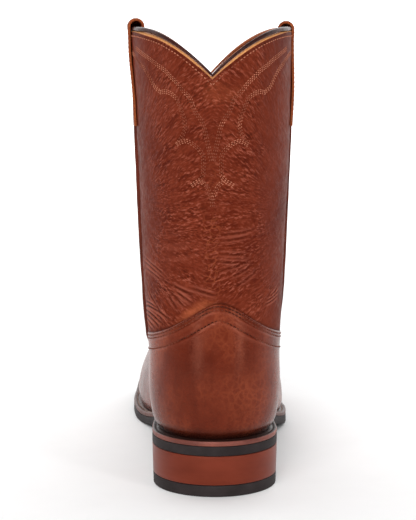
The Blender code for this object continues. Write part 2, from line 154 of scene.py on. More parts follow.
def sole_outline(angle, inset=0.0):
    """Plan of the sole: angle 0 at the heel's back, positive round the outer side, pi at the toe."""
    along = (1 - np.cos(angle)) / 2
    run = LENGTH - 2 * inset
    y = inset + run * along
    half = half_width(SOLE_HALF, y) - inset
    half = half * rounded_end(run * along, SOLE_BACK_ROUND - inset, 2.0)
    half = half * rounded_end(run * (1 - along), SOLE_FRONT_ROUND - inset, SOLE_TOE_POWER)
    return eased(CENTRE_LINE, y) + np.sign(np.sin(angle)) * half, y


edge_x, _ = sole_outline(np.radians(np.arange(-180, 181)))
SHIFT = np.array((-(edge_x.max() + edge_x.min()) / 2, -LENGTH / 2, 0.0))
print("heel back to the frame's origin:", np.round(SHIFT, 2), "mm")


# %% Rules of the upper
def ring_at(level):
    """The upper's section at a level, smoothly between the table's rows."""
    level = np.clip(level, 0.0, TOP_LEVEL)
    first = np.minimum(level.astype(int), TOP_LEVEL - 1)
    f = level - first
    weights = (
        0.5 * (-f + 2 * f**2 - f**3),
        0.5 * (2 - 5 * f**2 + 3 * f**3),
        0.5 * (f + 4 * f**2 - 3 * f**3),
        0.5 * (f**3 - f**2),
    )
    rows = [RINGS[np.clip(first + step, 0, TOP_LEVEL)] for step in (-1, 0, 1, 2)]
    values = sum(weight[..., None] * row for weight, row in zip(weights, rows))
    return {name: values[..., i] for i, name in enumerate(RING_COLUMNS)}


def skin_at(angle, level):
    """Points of the upper's outer surface."""
    angle, level = np.broadcast_arrays(np.asarray(angle, float), np.asarray(level, float))
    ring = ring_at(level)
    run = ring["front_y"] - ring["back_y"]
    along = (1 - np.cos(angle)) / 2
    y = ring["back_y"] + run * along
    first = dict(zip(RING_COLUMNS, RINGS[0]))
    chord = (y - first["back_y"]) / (first["front_y"] - first["back_y"])
    chord = first["back_z"] + (first["front_z"] - first["back_z"]) * chord
    z = ring["back_z"] + (ring["front_z"] - ring["back_z"]) * along
    z = z + ring["follow"] * (sole_z(y) + STACK - chord)
    half = half_width(ring, y)
    half = half * rounded_end(run * along, run * ring["back_round"], 2.0)
    half = half * rounded_end(run * (1 - along), run * ring["front_round"], ring["front_power"])
    x = eased(CENTRE_LINE, y) * ring["swing"] + np.sign(np.sin(angle)) * half
    return np.stack((x, y, z), axis=-1)


def unit(vectors):
    return vectors / np.maximum(np.linalg.norm(vectors, axis=-1, keepdims=True), 1e-9)


def skin_normal(angle, level):
    step = 0.01
    angle, level = np.broadcast_arrays(np.asarray(angle, float), np.asarray(level, float))
    around = skin_at(angle + step, level) - skin_at(angle - step, level)
    up = skin_at(angle, np.minimum(level + step, TOP_LEVEL)) - skin_at(angle, np.maximum(level - step, 0.0))
    return unit(np.cross(around, up))


HALVINGS = 34


def level_of(angle, z):
    """Level at which the skin reaches a height, found by halving."""
    angle, z = np.broadcast_arrays(np.asarray(angle, float), np.asarray(z, float))
    low, high = np.zeros(angle.shape), np.full(angle.shape, float(TOP_LEVEL))
    for _ in range(HALVINGS):
        middle = (low + high) / 2
        under = skin_at(angle, middle)[..., 2] < z
        low, high = np.where(under, middle, low), np.where(under, high, middle)
    return (low + high) / 2


probe = skin_at(np.radians((0.0, 90.0, 180.0)), np.full(3, 12.0))
print("shaft at level 12: back y %.1f, side x %.1f, front y %.1f" % (probe[0, 1], probe[1, 0], probe[2, 1]))

# %% [markdown]
# Edges of the leather
#
# The pattern pieces meet along lines drawn on the last: the collar with its V dips, the counter's hump
# at the back, the vamp's tongue at the front, and a seam up each side. Each line is a small rule of
# angle and height, so a row of stitching can later follow the very same line.

# %% Rules of the edges
COLLAR = {"side": 265.6, "back": 239.4, "front": 236.5, "power": 1.75, "turn": math.radians(-3.0)}
COUNTER_EDGE = {
    "side": 87.5, "peak": 111.2, "hump": 0.6,
    "hump_reach": math.radians(21.0), "slope_reach": math.radians(66.0), "shift": math.radians(1.5),
}
VAMP_EDGE = {"side": 86.0, "tongue": 152.0}
SEAM_LINE = {"y": 71.5, "y_at_sole": 80.0, "straight_from": 6.0, "bottom": 80.0, "opens": 10.0}
SEAM_HALF_WIDTH = 1.5


def collar_z(angle):
    """Height of the collar: peaks at the side seams, V dips at back and front."""
    at_back = np.cos(angle) > 0
    dip = np.where(at_back, COLLAR["back"], COLLAR["front"])
    turned = np.where(at_back, angle - COLLAR["turn"], angle)
    return dip + (COLLAR["side"] - dip) * (1 - (1 - np.abs(np.sin(turned))) ** COLLAR["power"])


def side_angle(level):
    """Angle of the side seam, which leans forward towards the sole."""
    ring = ring_at(np.asarray(level, float))
    lean = np.maximum(1 - np.asarray(level, float) / SEAM_LINE["straight_from"], 0.0)
    y = SEAM_LINE["y"] + (SEAM_LINE["y_at_sole"] - SEAM_LINE["y"]) * lean
    along = (y - ring["back_y"]) / (ring["front_y"] - ring["back_y"])
    return np.arccos(1 - 2 * along)


def side_margin(level):
    """Angle that the overlays leave free beside the side seam."""
    angle, step = side_angle(level), 0.01
    arc = np.linalg.norm(skin_at(angle + step, level) - skin_at(angle - step, level), axis=-1) / (2 * step)
    height = skin_at(angle, level)[..., 2] - SEAM_LINE["bottom"] + SEAM_LINE["opens"]
    return (GAP + SEAM_HALF_WIDTH * smooth(height / SEAM_LINE["opens"])) / arc


def panel_angle(panel, share, level, margin=True):
    """Angle on the counter's or vamp's side of the boot, with share -1 and 1 at its side edges."""
    edge = side_angle(level)
    spare = side_margin(level) if margin else 0.0
    if panel == "counter":
        return share * (edge - spare)
    return math.pi + share * (math.pi - edge - spare)


def edge_height(panel, angle, level):
    """Height of the overlay's top edge."""
    if panel == "counter":
        turn = np.abs(angle - COUNTER_EDGE["shift"])
        hump = np.exp(-((turn / COUNTER_EDGE["hump_reach"]) ** 2))
        slope = np.cos(np.minimum(turn / COUNTER_EDGE["slope_reach"], 1.0) * math.pi / 2) ** 2
        rise = COUNTER_EDGE["hump"] * hump + (1 - COUNTER_EDGE["hump"]) * slope
        return COUNTER_EDGE["side"] + (COUNTER_EDGE["peak"] - COUNTER_EDGE["side"]) * rise
    share = (angle - math.pi) / (math.pi - side_angle(level))
    tongue = (0.5 + 0.5 * np.cos(math.pi * share)) ** 2
    return VAMP_EDGE["side"] + (VAMP_EDGE["tongue"] - VAMP_EDGE["side"]) * tongue


SETTLING_ROUNDS = 12


def panel_level(panel, share, height, margin=True):
    """Level at which lines up the panel reach a height, a rule of angle and level."""
    level = np.full(np.shape(share), SEAM_LINE["straight_from"])
    for _ in range(SETTLING_ROUNDS):
        angle = panel_angle(panel, share, level, margin)
        level = level_of(angle, height(angle, level))
    return level


def edge_level(panel, share, margin=True):
    """Level of the overlay's top edge."""
    return panel_level(panel, share, lambda angle, level: edge_height(panel, angle, level), margin)


print("collar %.0f mm at the sides, %.0f mm at the back" % (COLLAR["side"], COLLAR["back"]))

# %% [markdown]
# Helpers for meshes
#
# Most pieces are leather of a known thickness. A wall is two grids of points, the outer face and the
# inner face, joined round the border, which gives a closed piece whose edges can be shaped by hand.
# Solidify would do the same with one setting, but it can't thin the leather towards an edge.


# %% Mesh helpers
SHARP_ANGLE = math.radians(50)


def new_piece(name, points, faces, finishes, indices=None, values=None):
    """Object at the origin from points in millimetres, with values stored on its points."""
    mesh = bpy.data.meshes.new(name)
    mesh.from_pydata(((points + SHIFT) * MM).tolist(), [], faces)
    for finish in finishes:
        mesh.materials.append(finish)
    if indices is not None:
        mesh.polygons.foreach_set("material_index", indices)
    for key, value in (values or {}).items():
        kind, field = ("FLOAT_VECTOR", "vector") if np.ndim(value) == 2 else ("FLOAT", "value")
        layer = mesh.attributes.new(key, kind, "POINT")
        layer.data.foreach_set(field, np.asarray(value, np.float32).ravel())
    mesh.shade_smooth()
    mesh.set_sharp_from_angle(angle=SHARP_ANGLE)
    made = bpy.data.objects.new(name, mesh)
    bpy.context.scene.collection.objects.link(made)
    return made


def wall_faces(rows, inner_rows, columns, closed):
    """Faces of an outer and an inner grid joined round the border."""
    size = rows * columns
    ring = columns if closed else columns - 1
    faces = []
    for start, count, outward in ((0, rows, True), (size, inner_rows, False)):
        for r in range(count - 1):
            for i in range(ring):
                j = (i + 1) % columns
                a, b = start + r * columns + i, start + r * columns + j
                square = (a, b, b + columns, a + columns)
                faces.append(square if outward else square[::-1])
    top, inner_top = (rows - 1) * columns, size + (inner_rows - 1) * columns
    for i in range(ring):
        j = (i + 1) % columns
        faces.append((size + i, size + j, j, i))
        faces.append((top + i, top + j, inner_top + j, inner_top + i))
    if not closed:
        last = columns - 1
        for r in range(rows - 1):
            a, d = r * columns, (r + 1) * columns
            faces.append((size + a, a, d, size + d))
            faces.append((a + last, size + a + last, size + d + last, d + last))
    return faces


def make_wall(name, outer, inner, closed, finishes, values=None, inner_rows=None):
    """Closed leather wall from two grids of points, rows by columns.

    A hidden inner face may keep only some of its rows.
    """
    rows, columns = outer.shape[:2]
    kept = np.unique(np.linspace(0, rows - 1, inner_rows or rows).astype(int))
    points = np.concatenate((outer.reshape(-1, 3), inner[kept].reshape(-1, 3)))
    both = {}
    for key, value in (values or {}).items():
        shape = (-1, 3) if value.ndim == 3 else (-1,)
        both[key] = np.concatenate((value.reshape(shape), value[kept].reshape(shape)))
    return new_piece(name, points, wall_faces(rows, len(kept), columns, closed), finishes, values=both)


def make_loft(name, loops, finishes, ring=False, indices=None, values=None):
    """Closed piece through loops of points; each loop runs anticlockwise seen from its start."""
    count, around = loops.shape[:2]
    faces = []
    marks = []
    for r in range(count if ring else count - 1):
        for i in range(around):
            j, s = (i + 1) % around, (r + 1) % count
            faces.append((r * around + i, r * around + j, s * around + j, s * around + i))
            marks.append(indices[i] if indices is not None else 0)
    if not ring:
        faces.append(tuple(range(around))[::-1])
        faces.append(tuple((count - 1) * around + i for i in range(around)))
        marks += [0, 0]
    return new_piece(name, loops.reshape(-1, 3), faces, finishes, marks, values)


def dress(piece, slot, *nodes):
    """Every piece rides on the boot's one body; some stand for a solid of the frame."""
    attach(piece, "root")
    if nodes:
        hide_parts(*nodes)
    print(f"{piece.name}: {len(piece.data.polygons)} faces")


# %% Lines on the leather
def flowing(points, steps=10):
    """Smooth line through given points."""
    points = np.asarray(points, float)
    padded = np.concatenate((2 * points[:1] - points[1:2], points, 2 * points[-1:] - points[-2:-1]))
    line = []
    for a, b, c, d in zip(padded, padded[1:], padded[2:], padded[3:]):
        for f in np.arange(steps) / steps:
            line.append(0.5 * (2 * b + (c - a) * f + (2 * a - 5 * b + 4 * c - d) * f**2
                               + (3 * b - a - 3 * c + d) * f**3))
    return np.array(line + [points[-1]])


def beside(points, normals, offset):
    """The same line moved sideways on its surface."""
    run = unit(np.gradient(points, axis=0))
    return points + np.cross(normals, run) * offset


def waves(points, stretch):
    """Smooth noise at points, with the length of one wave along x, y and z."""
    scaled = points.reshape(-1, 3) / np.asarray(stretch, float)
    return np.array([noise.noise(Vector(p)) for p in scaled]).reshape(points.shape[:-1])


def distance_to(points, line):
    """Distance from each point to a line of points, and how far along the line the nearest one lies."""
    tree = kdtree.KDTree(len(line))
    for i, place in enumerate(line):
        tree.insert(place, i)
    tree.balance()
    found = [tree.find(p) for p in points.reshape(-1, 3)]
    share = np.array([index for _, index, _ in found]) / max(len(line) - 1, 1)
    distance = np.array([far for _, _, far in found])
    return distance.reshape(points.shape[:-1]), share.reshape(points.shape[:-1])


print("helpers ready")

# %% [markdown]
# Helpers for finishes
#
# Every finish is a Principled shader fed by noise and cell textures in Object coordinates, so grain
# keeps its real size on every piece. Node trees are built by a small class that adds and links nodes,
# because the same few moves come back again and again. Finish adds what a leather needs: a noise, a mix,
# a bump. The stitches and the sky use the plain tree.


# %% The tree helper
class Tree:
    """A node tree while it is being put together."""

    def __init__(self, tree):
        self.tree = tree

    def feed(self, node, inputs):
        """Link or set inputs, by name with underscores or by number."""
        for key, value in inputs.items():
            socket = node.inputs[key.replace("_", " ") if isinstance(key, str) else key]
            if isinstance(value, bpy.types.NodeSocket):
                self.tree.links.new(value, socket)
            else:
                socket.default_value = value

    def add(self, kind, inputs=None, **settings):
        node = self.tree.nodes.new(kind)
        for key, value in settings.items():
            setattr(node, key, value)
        self.feed(node, inputs or {})
        return node

    def ramp(self, value, *stops):
        """Colours or greys at stops, blended from each to the next."""
        node = self.add("ShaderNodeValToRGB", {"Fac": value})
        while len(node.color_ramp.elements) < len(stops):
            node.color_ramp.elements.new(1.0)
        for element, (place, colour) in zip(node.color_ramp.elements, stops):
            element.position = place
            grey = not isinstance(colour, tuple)
            element.color = (colour, colour, colour, 1.0) if grey else (*colour, 1.0)
        return node.outputs["Color"]

    def sums(self, operation, a, b):
        return self.add("ShaderNodeMath", {0: a, 1: b}, operation=operation).outputs[0]

    def times(self, a, b):
        return self.sums("MULTIPLY", a, b)

    def moved(self, operation, place, by):
        return self.add("ShaderNodeVectorMath", {0: place, 1: by}, operation=operation).outputs[0]


# %% The finish helper
SHAKE = {"Scale": 150.0, "Detail": 0.5}


class Finish(Tree):
    """A material while it is being put together."""

    def __init__(self, name, **sockets):
        self.material = bpy.data.materials.new(name)
        self.material.use_nodes = True
        super().__init__(self.material.node_tree)
        self.shader = self.tree.nodes["Principled BSDF"]
        self.coords = self.add("ShaderNodeTexCoord").outputs["Object"]
        self.feed(self.shader, sockets)

    def stretched(self, size, warp=0.0, place=None):
        """Coordinates in waves of this many millimetres along x, y and z, optionally shaken a little."""
        place = self.coords if place is None else place
        if warp:
            shake = self.add("ShaderNodeTexNoise", {"Vector": place, **SHAKE}).outputs["Color"]
            place = self.moved("ADD", place, self.moved("MULTIPLY", shake, (warp * MM,) * 3))
        scale = tuple(1 / (side * MM) for side in size)
        return self.add("ShaderNodeMapping", {"Vector": place, "Scale": scale}).outputs["Vector"]

    def noise(self, size, detail=3.0, rough=0.55, place=None, warp=0.0):
        inputs = {"Vector": self.stretched(size, warp, place), "Scale": 1.0}
        return self.add("ShaderNodeTexNoise", {**inputs, "Detail": detail, "Roughness": rough}).outputs[0]

    def cells(self, size, feature="SMOOTH_F1", warp=0.0, place=None):
        inputs = {"Vector": self.stretched(size, warp, place), "Scale": 1.0}
        return self.add("ShaderNodeTexVoronoi", inputs, feature=feature).outputs["Distance"]

    def mix(self, share, low, high, blend="MIX"):
        low = (*low, 1.0) if isinstance(low, tuple) else low
        high = (*high, 1.0) if isinstance(high, tuple) else high
        node = self.add("ShaderNodeMix", {0: share}, data_type="RGBA", blend_type=blend)
        self.feed(node, {6: low, 7: high})
        return node.outputs[2]

    def mark(self, name, output="Fac"):
        """A value or a place stored on the mesh's points."""
        return self.add("ShaderNodeAttribute", attribute_name=name).outputs[output]

    def bump(self, height, depth, under=None):
        """Relief of this depth in millimetres, over an earlier relief."""
        inputs = {"Height": height, "Distance": depth * MM, "Strength": 1.0}
        if under is not None:
            inputs["Normal"] = under
        return self.add("ShaderNodeBump", inputs).outputs["Normal"]

    def done(self, colour, rough, normal=None):
        self.feed(self.shader, {"Base Color": colour, "Roughness": rough})
        if normal is not None:
            self.feed(self.shader, {"Normal": normal})
        return self.material


def plain_finish(name, tones, clouds, grain, rough, depth, turn=(0.30, 0.70), **sockets):
    """Two tones in soft clouds under a fine grain. Clouds and grain are each a size and a detail."""
    leather = Finish(name, **sockets)
    fine = leather.noise(*grain)
    colour = leather.ramp(leather.noise(*clouds), *zip(turn, tones))
    return leather.done(colour, leather.ramp(fine, *zip((0.3, 0.7), rough)), leather.bump(fine, depth))


print("finish helpers ready")

# %% [markdown]
# The shaft's leather
#
# The shaft is a chestnut pull-up leather: waxy, with fine ridges painted pale on a darker ground, and
# orange where it is stretched. The ridges fan down from the back seam like a feather, so plain noise
# won't do. The mesh stores a place called flow, the hide's own place with its height bent along the fan.
# Fine noise is read there twice, the second time a little higher, and the difference paints light into
# the colour: slopes that face up get a painted highlight and slopes that face down get painted shade,
# as if lit from above. Round cells of about a millimetre add the grain, and borders of larger cells give
# a faint net on the back seam.

# %% Shaft finish
# The deepest chestnut is painted shade and the crest pink is a painted highlight, wherever they are mixed in
CHESTNUT_SHADE = (0.045, 0.007, 0.003)
CHESTNUT_DARK = (0.085, 0.010, 0.004)
CHESTNUT = (0.132, 0.020, 0.008)
CHESTNUT_WARM = (0.185, 0.033, 0.015)
CREST_HIGHLIGHT = (0.350, 0.095, 0.058)
BURNISHED = (0.440, 0.108, 0.043)
RAW_TAN_DARK = (0.480, 0.190, 0.066)
RAW_TAN = (0.700, 0.330, 0.125)
SHAFT_GLOSS = (1.0, 0.70, 0.62, 1.0)
WRINKLE_SIZE = (2.5, 2.5, 1.8)
SLOPE_STEP = 0.42
SLOPE_GAIN = 1.2


def shaft_wrinkles(leather, flow):
    """Fine wrinkles in the flow, and the same with painted light: slopes shaded and highlighted as if lit
    from above.
    """
    above = leather.moved("ADD", flow, (0.0, 0.0, SLOPE_STEP * MM))
    here, higher = [leather.noise(WRINKLE_SIZE, 1, 0.5, place, 1.0) for place in (flow, above)]
    lit = leather.sums("SUBTRACT", leather.times(here, 1 + SLOPE_GAIN), leather.times(higher, SLOPE_GAIN))
    return here, lit


def shaft_finish():
    leather = Finish("chestnut_shaft", Specular_IOR_Level=0.03, Specular_Tint=SHAFT_GLOSS)
    flow, rugged = leather.mark("flow", "Vector"), leather.mark("rugged")
    blotches = leather.noise((42, 42, 34), detail=4)
    folds = leather.noise((11, 11, 3.4), detail=3, place=flow)
    # Fold crests warmer and hollows darker: partly the pull-up leather's own tone, partly painted light and
    # shade
    uneven = leather.sums("ADD", leather.times(leather.sums("SUBTRACT", folds, 0.5), rugged), 0.5)
    tone = leather.sums("ADD", leather.times(blotches, 0.5), leather.times(uneven, 0.5))
    patchy = leather.ramp(leather.noise((15, 15, 8), detail=3), (0.38, 0.2), (0.64, 1.0))
    rugged_patches = leather.times(rugged, patchy)
    wrinkles, lit = shaft_wrinkles(leather, flow)
    # Painted light: down-facing slopes darkened as painted shade, up-facing slopes paled as a painted
    # highlight
    dark = leather.times(leather.ramp(lit, (0.22, 0.7), (0.48, 0.0)), rugged_patches)
    pale = leather.times(leather.ramp(lit, (0.54, 0.0), (0.82, 0.75)), rugged_patches)
    net = leather.cells((4.4, 4.4, 2.9), "DISTANCE_TO_EDGE", 4.0, flow)
    net = leather.times(leather.ramp(net, (0.0, 0.34), (0.11, 0.0)), leather.mark("net"))
    grain = leather.cells((1.4, 1.4, 1.7), warp=0.8)
    fibre = leather.ramp(leather.noise((1.1, 1.1, 2.0)), (0.3, RAW_TAN_DARK), (0.7, RAW_TAN))

    colour = leather.ramp(tone, (0.34, CHESTNUT_DARK), (0.50, CHESTNUT), (0.66, CHESTNUT_WARM))
    colour = leather.mix(leather.times(leather.mark("seam_strip"), 0.4), colour, CHESTNUT_DARK)
    # Painted shade and painted highlight on the wrinkle slopes
    colour = leather.mix(dark, colour, CHESTNUT_SHADE)
    colour = leather.mix(pale, colour, CREST_HIGHLIGHT)
    colour = leather.mix(leather.times(net, patchy), colour, BURNISHED)
    colour = leather.mix(0.35, colour, leather.ramp(grain, (0.25, 1.0), (0.75, 0.60)), "MULTIPLY")
    # Painted shade in the creases and under edges, painted highlight on the crease lips
    colour = leather.mix(leather.mark("trough"), colour, CHESTNUT_SHADE)
    colour = leather.mix(leather.mark("crest"), colour, CREST_HIGHLIGHT)
    colour = leather.mix(leather.times(leather.mark("stretched"), patchy), colour, BURNISHED)
    colour = leather.mix(leather.mark("raw"), colour, fibre)

    rough = leather.ramp(leather.noise((6, 6, 4)), (0.30, 0.42), (0.75, 0.60))
    relief = leather.bump(leather.times(folds, rugged), 0.7)
    relief = leather.bump(leather.times(wrinkles, rugged_patches), 0.6, relief)
    relief = leather.bump(leather.ramp(grain, (0.1, 1.0), (0.9, 0.0)), 0.08, relief)
    return leather.done(colour, rough, relief)


CHESTNUT_SHAFT = shaft_finish()
print("shaft finish:", len(CHESTNUT_SHAFT.node_tree.nodes), "nodes")

# %% [markdown]
# The flame stitch
#
# Rows of decorative stitching on a boot's shaft also stiffen the leather. The line here is a traditional
# flame: it leaves the side seam near the collar, splits, and steps down in three scallops to a point on
# the back seam. It is given as angle and height on one half, mirrored, and repeated on the front
# panel.

# %% Flame lines
FLAME = (
    ((66, 255.5), (59.5, 253.5), (53, 251.5), (47, 249), (41, 246), (34.5, 243), (30.5, 240), (26, 237),
     (20.5, 232), (15.5, 228), (12.5, 221.5), (6.5, 213.5), (3.5, 203.5), (0.8, 193.5)),
    ((77, 253), (68, 250.5), (58.5, 246), (53, 242.5), (49.5, 239.5), (45.5, 234.5), (39.5, 231)),
    ((39.5, 231), (35, 231.5), (30.5, 230.5), (26, 228), (24.5, 225.5), (22.5, 221.5), (20, 216), (20, 210.5),
     (22.5, 206), (26, 202)),
    ((26, 202), (19.5, 204), (12.5, 201.5), (7, 196.5), (6.5, 191), (7.5, 183.5), (15, 179)),
    ((15, 179), (10.5, 181), (6, 180), (3, 177), (0.5, 171.5), (0, 167.5)),
)
FLAME_ROWS = (-1.0, 0.0, 1.0)


def flame_lines():
    """Every line of the flame as angle (radians) and height, both sides, back and front."""
    lines = []
    for stroke in FLAME:
        line = flowing(stroke)
        for side in (-1, 1):
            angle = np.radians(side * line[:, 0])
            lines.append((angle + COLLAR["turn"], line[:, 1]))
            lines.append((math.pi + angle, line[:, 1]))
    return lines


def on_skin(angle, z):
    """Points of the skin at an angle and a height, and their normals."""
    level = level_of(angle, z)
    return skin_at(angle, level), skin_normal(angle, level)


FLAME_PATHS = [on_skin(angle, z) for angle, z in flame_lines()]
flame_points = np.concatenate([points for points, _ in FLAME_PATHS])
print(len(FLAME_PATHS), "flame lines,", len(flame_points), "points")

# %% [markdown]
# Creases of the shaft
#
# Leather that stands upright slumps a little over the heel, so folds gather just above the counter. They
# are listed one by one, each from one point to another with a width and a depth, as soft troughs with a
# raised lip on both sides. A cloth simulation would fold somewhere else each time it is changed.

# %% Crease table
# Angle in degrees and height of one end, the same of the other, sag of the middle, width, depth
CREASES = (
    (-58, 106.5, -33, 103.5, -1.8, 0.55, 0.50),
    (-58, 103.5, -27, 100.5, -2.8, 0.55, 0.70),
    (-58, 100.5, -32, 97, -2.4, 0.55, 0.85),
    (-56, 98.5, -35, 95.5, -2.0, 0.55, 0.90),
    (-54, 96.5, -38, 93.5, -1.0, 0.5, 0.75),
    (-52, 94.5, -42, 92, -0.5, 0.5, 0.55),
    (-57, 118.0, -45, 108.5, 0.3, 0.5, 0.30),
    (-53, 114.5, -36, 105, 0.3, 0.55, 0.35),
    (-58, 122.5, -50, 113.5, 0.3, 0.5, 0.25),
    (-27, 118.0, -14, 111, 0.0, 0.6, 0.45),
    (-31, 121.0, -14, 116, 0.0, 0.7, 0.45),
    (-26, 114.0, -18, 108.5, 0.0, 0.55, 0.35),
    (-33, 116.0, -23, 107, 0.0, 0.7, 0.30),
    (-18, 120.5, 0, 116, 0.0, 0.7, 0.35),
    (4, 151.0, 30, 153, 0.5, 0.6, 0.28),
    (2, 147.5, 26, 149.5, 0.5, 0.6, 0.25),
    (1, 140.0, 24, 138, -0.4, 0.7, 0.25),
    (0, 136.0, 22, 134.5, 0.4, 0.6, 0.28),
    (3, 130.5, 27, 136, 0.4, 0.6, 0.25),
    (10, 126.0, 25, 132, 0.0, 0.6, 0.25),
    (14, 121.5, 31, 129.5, 0.0, 0.6, 0.25),
    (38, 112.5, 49, 117, 0.3, 0.5, 0.45),
    (34, 110.5, 50, 114.5, 0.3, 0.5, 0.50),
    (32, 108.5, 47, 112, 0.3, 0.5, 0.40),
    (-44, 146.0, -20, 150, 1.5, 1.4, 0.10),
    (-40, 138.0, -14, 143, 1.5, 1.4, 0.12),
    (-70, 132.5, -36, 125, -1.2, 0.6, 0.45),
    (-68, 129.5, -38, 123.5, -1.5, 0.6, 0.45),
    (-66, 126.0, -38, 121.5, -1.5, 0.55, 0.35),
    (140, 158.0, 220, 159, 4.0, 2.6, 0.55),
    (128, 147.0, 168, 154, 2.0, 2.4, 0.45),
    (192, 154.0, 232, 147, 2.0, 2.4, 0.45),
    (118, 132.0, 146, 142, 1.5, 2.2, 0.45),
    (214, 142.0, 242, 132, 1.5, 2.2, 0.45),
)
CREASE_STEPS = 60
FOLD = {"reach": 6.0, "fade": 0.7, "lip": 0.5, "lip_place": 1.9}


def crease_line(angle_1, z_1, angle_2, z_2, sag):
    share = np.linspace(0.0, 1.0, CREASE_STEPS)
    angle = np.radians(angle_1 + (angle_2 - angle_1) * share)
    z = z_1 + (z_2 - z_1) * share - sag * 4 * share * (1 - share)
    return on_skin(angle, z)[0]


CREASE_PATHS = [(crease_line(*row[:5]), *row[5:]) for row in CREASES]


def fold_section(off):
    """A trough with a lip on both sides, for a distance in widths of the fold."""
    return FOLD["lip"] * np.exp(-((np.abs(off) - FOLD["lip_place"]) ** 2)) - np.exp(-(off**2))


def folded(points):
    """Relief of the hand-placed creases, which fade to their ends."""
    relief = np.zeros(points.shape[:-1])
    for line, width, depth in CREASE_PATHS:
        reach = np.linalg.norm(line[0] - line[-1]) / 2 + FOLD["reach"] * width
        near = np.linalg.norm(points - line.mean(axis=0), axis=-1) < reach
        distance, share = distance_to(points[near], line)
        fade = np.sin(math.pi * np.clip(share, 0.02, 0.98)) ** FOLD["fade"]
        relief[near] += depth * fade * fold_section(distance / width)
    return relief


print(len(CREASES), "creases placed")

# %% Relief of the shaft
FAN = ((105.0, -0.8), (140.0, -0.35), (156.0, 0.1), (185.0, 0.8), (215.0, 1.0))
FLOW = {"seam_x": -2.0, "slope": 0.35, "power": 1.2, "side": 40.0, "side_rise": 14.0, "wander": 2.2}
SHAFT_RELIEF = {"swell": 0.55, "creep": 4.0, "ridge": 0.20, "furrow": 0.16, "groove": 0.28, "sunk": 0.15}
GROOVE_WIDTH = 1.5
MEDIAL_FLARE = 1.6


def hide_flow(points):
    """Place on the hide with the height bent, so that wrinkles fan down from the back and front seams."""
    bent = points.copy()
    off = np.abs(points[..., 0] - FLOW["seam_x"])
    rise = FLOW["slope"] * off ** FLOW["power"] + FLOW["side_rise"] * (off / FLOW["side"]) ** 4
    bent[..., 2] += eased(FAN, points[..., 2]) * rise
    bent[..., 2] += FLOW["wander"] * waves(points, (19, 19, 14))
    return bent


def winding(points, size, sharp):
    """Narrow winding lines, where a smooth noise crosses zero."""
    return np.clip(1 - sharp * np.abs(waves(points, size)), 0.0, 1.0) ** 1.5


def shaft_relief(points, above):
    """How far the shaft's surface stands out. above is the height over the overlays' edge."""
    z = points[..., 2]
    swell = SHAFT_RELIEF["swell"] * waves(points, (64, 64, 50))
    creep = hide_flow(points) + SHAFT_RELIEF["creep"] * waves(points, (30, 30, 24))[..., None]
    wrinkles = SHAFT_RELIEF["ridge"] * winding(creep + 50, (8, 8, 3.6), 3.2)
    wrinkles -= SHAFT_RELIEF["furrow"] * winding(creep, (17, 17, 6.5), 3.0)
    wrinkles *= smooth((z - 98) / 20) * (1 - 0.3 * smooth((z - 225) / 20))
    stitched, _ = distance_to(points, flame_points)
    grooves = -SHAFT_RELIEF["groove"] * np.exp(-((stitched / GROOVE_WIDTH) ** 2))
    free = smooth(above / 5.0)
    rest = (swell * smooth(above / 14.0) + wrinkles + grooves) * free - SHAFT_RELIEF["sunk"] * (1 - free)
    flare = MEDIAL_FLARE * smooth((-points[..., 0] - 30) / 10) * smooth((z - 215) / 45)
    return rest + flare + folded(points) * smooth(above / 1.5)


print("medial side of the collar flared by", MEDIAL_FLARE, "mm")

# %% [markdown]
# The shaft
#
# The outer leather starts under the overlays and ends in a bevelled raw edge at the collar, where its
# tan core shows. Its points are closest together at the back, where the light shows the wrinkles. Values
# stored on the points say where the leather is creased, stretched or gathered and where shade and
# highlights are painted into its colour, and the finish reads them as marks.

# %% Lines up the boot
SHAFT_THICKNESS = 1.25
TUCK = 1.0
BEVEL = ((0.95, 0.0), (0.74, -0.1), (0.5, -0.35), (0.25, -0.72), (0.0, -1.1))


def boot_columns(counts):
    """Angle rule, overlay level and collar level for each line up the boot."""
    shares = {panel: 2 * np.arange(count) / count - 1 for panel, count in counts.items()}
    shares["counter"] += COLLAR["turn"] / (math.pi / 2) * (1 - shares["counter"] ** 2)
    edges = [edge_level(panel, share, False) for panel, share in shares.items()]
    collars = [panel_level(p, s, lambda angle, level: collar_z(angle), False) for p, s in shares.items()]

    def angles(levels):
        parts, start = [], 0
        for panel, share in shares.items():
            stop = start + len(share)
            parts.append(panel_angle(panel, share, levels[..., start:stop], False))
            start = stop
        return np.concatenate(parts, axis=-1)

    return angles, np.concatenate(edges), np.concatenate(collars)


def collar_stretch(angle):
    """Upright distance for one millimetre square across the sloping collar."""
    here = on_skin(angle, collar_z(angle))[0]
    slopes = []
    for step in (-0.03, 0.03):
        run = on_skin(angle + step, collar_z(angle + step))[0] - here
        slopes.append(np.abs(run[..., 2]) / np.linalg.norm(run[..., :2], axis=-1))
    return np.hypot(1.0, np.maximum(*slopes))


print("outer leather", SHAFT_THICKNESS, "mm thick")

# %% Shaft marks
BACK_HALF = 70
STRIP = {"x": -2.5, "half": 4.5, "edge": 1.6, "top": 222, "fade": 15}
RUGGED = {"least": 0.22, "x": -4, "half": 37, "fade": 12}
STRETCHED = {
    "hump": {"strength": 0.75, "x": -11, "wide": 12, "up": 2.0, "high": 5, "reach": 1.2},
    "collar": {"strength": 0.25, "x": 3, "wide": 16, "up": 232, "high": 9, "reach": 1.0},
}
# Strength, then middle and reach across the boot, then middle and reach upward
GATHERED = ((1.0, -36, 9, 107, 11), (0.9, 31, 7, 114, 8))


def stretched_patch(name, x, up):
    """Soft round patch, strongest in its middle."""
    patch = STRETCHED[name]
    far = np.hypot((x - patch["x"]) / patch["wide"], (up - patch["up"]) / patch["high"])
    return patch["strength"] * smooth(patch["reach"] - far)


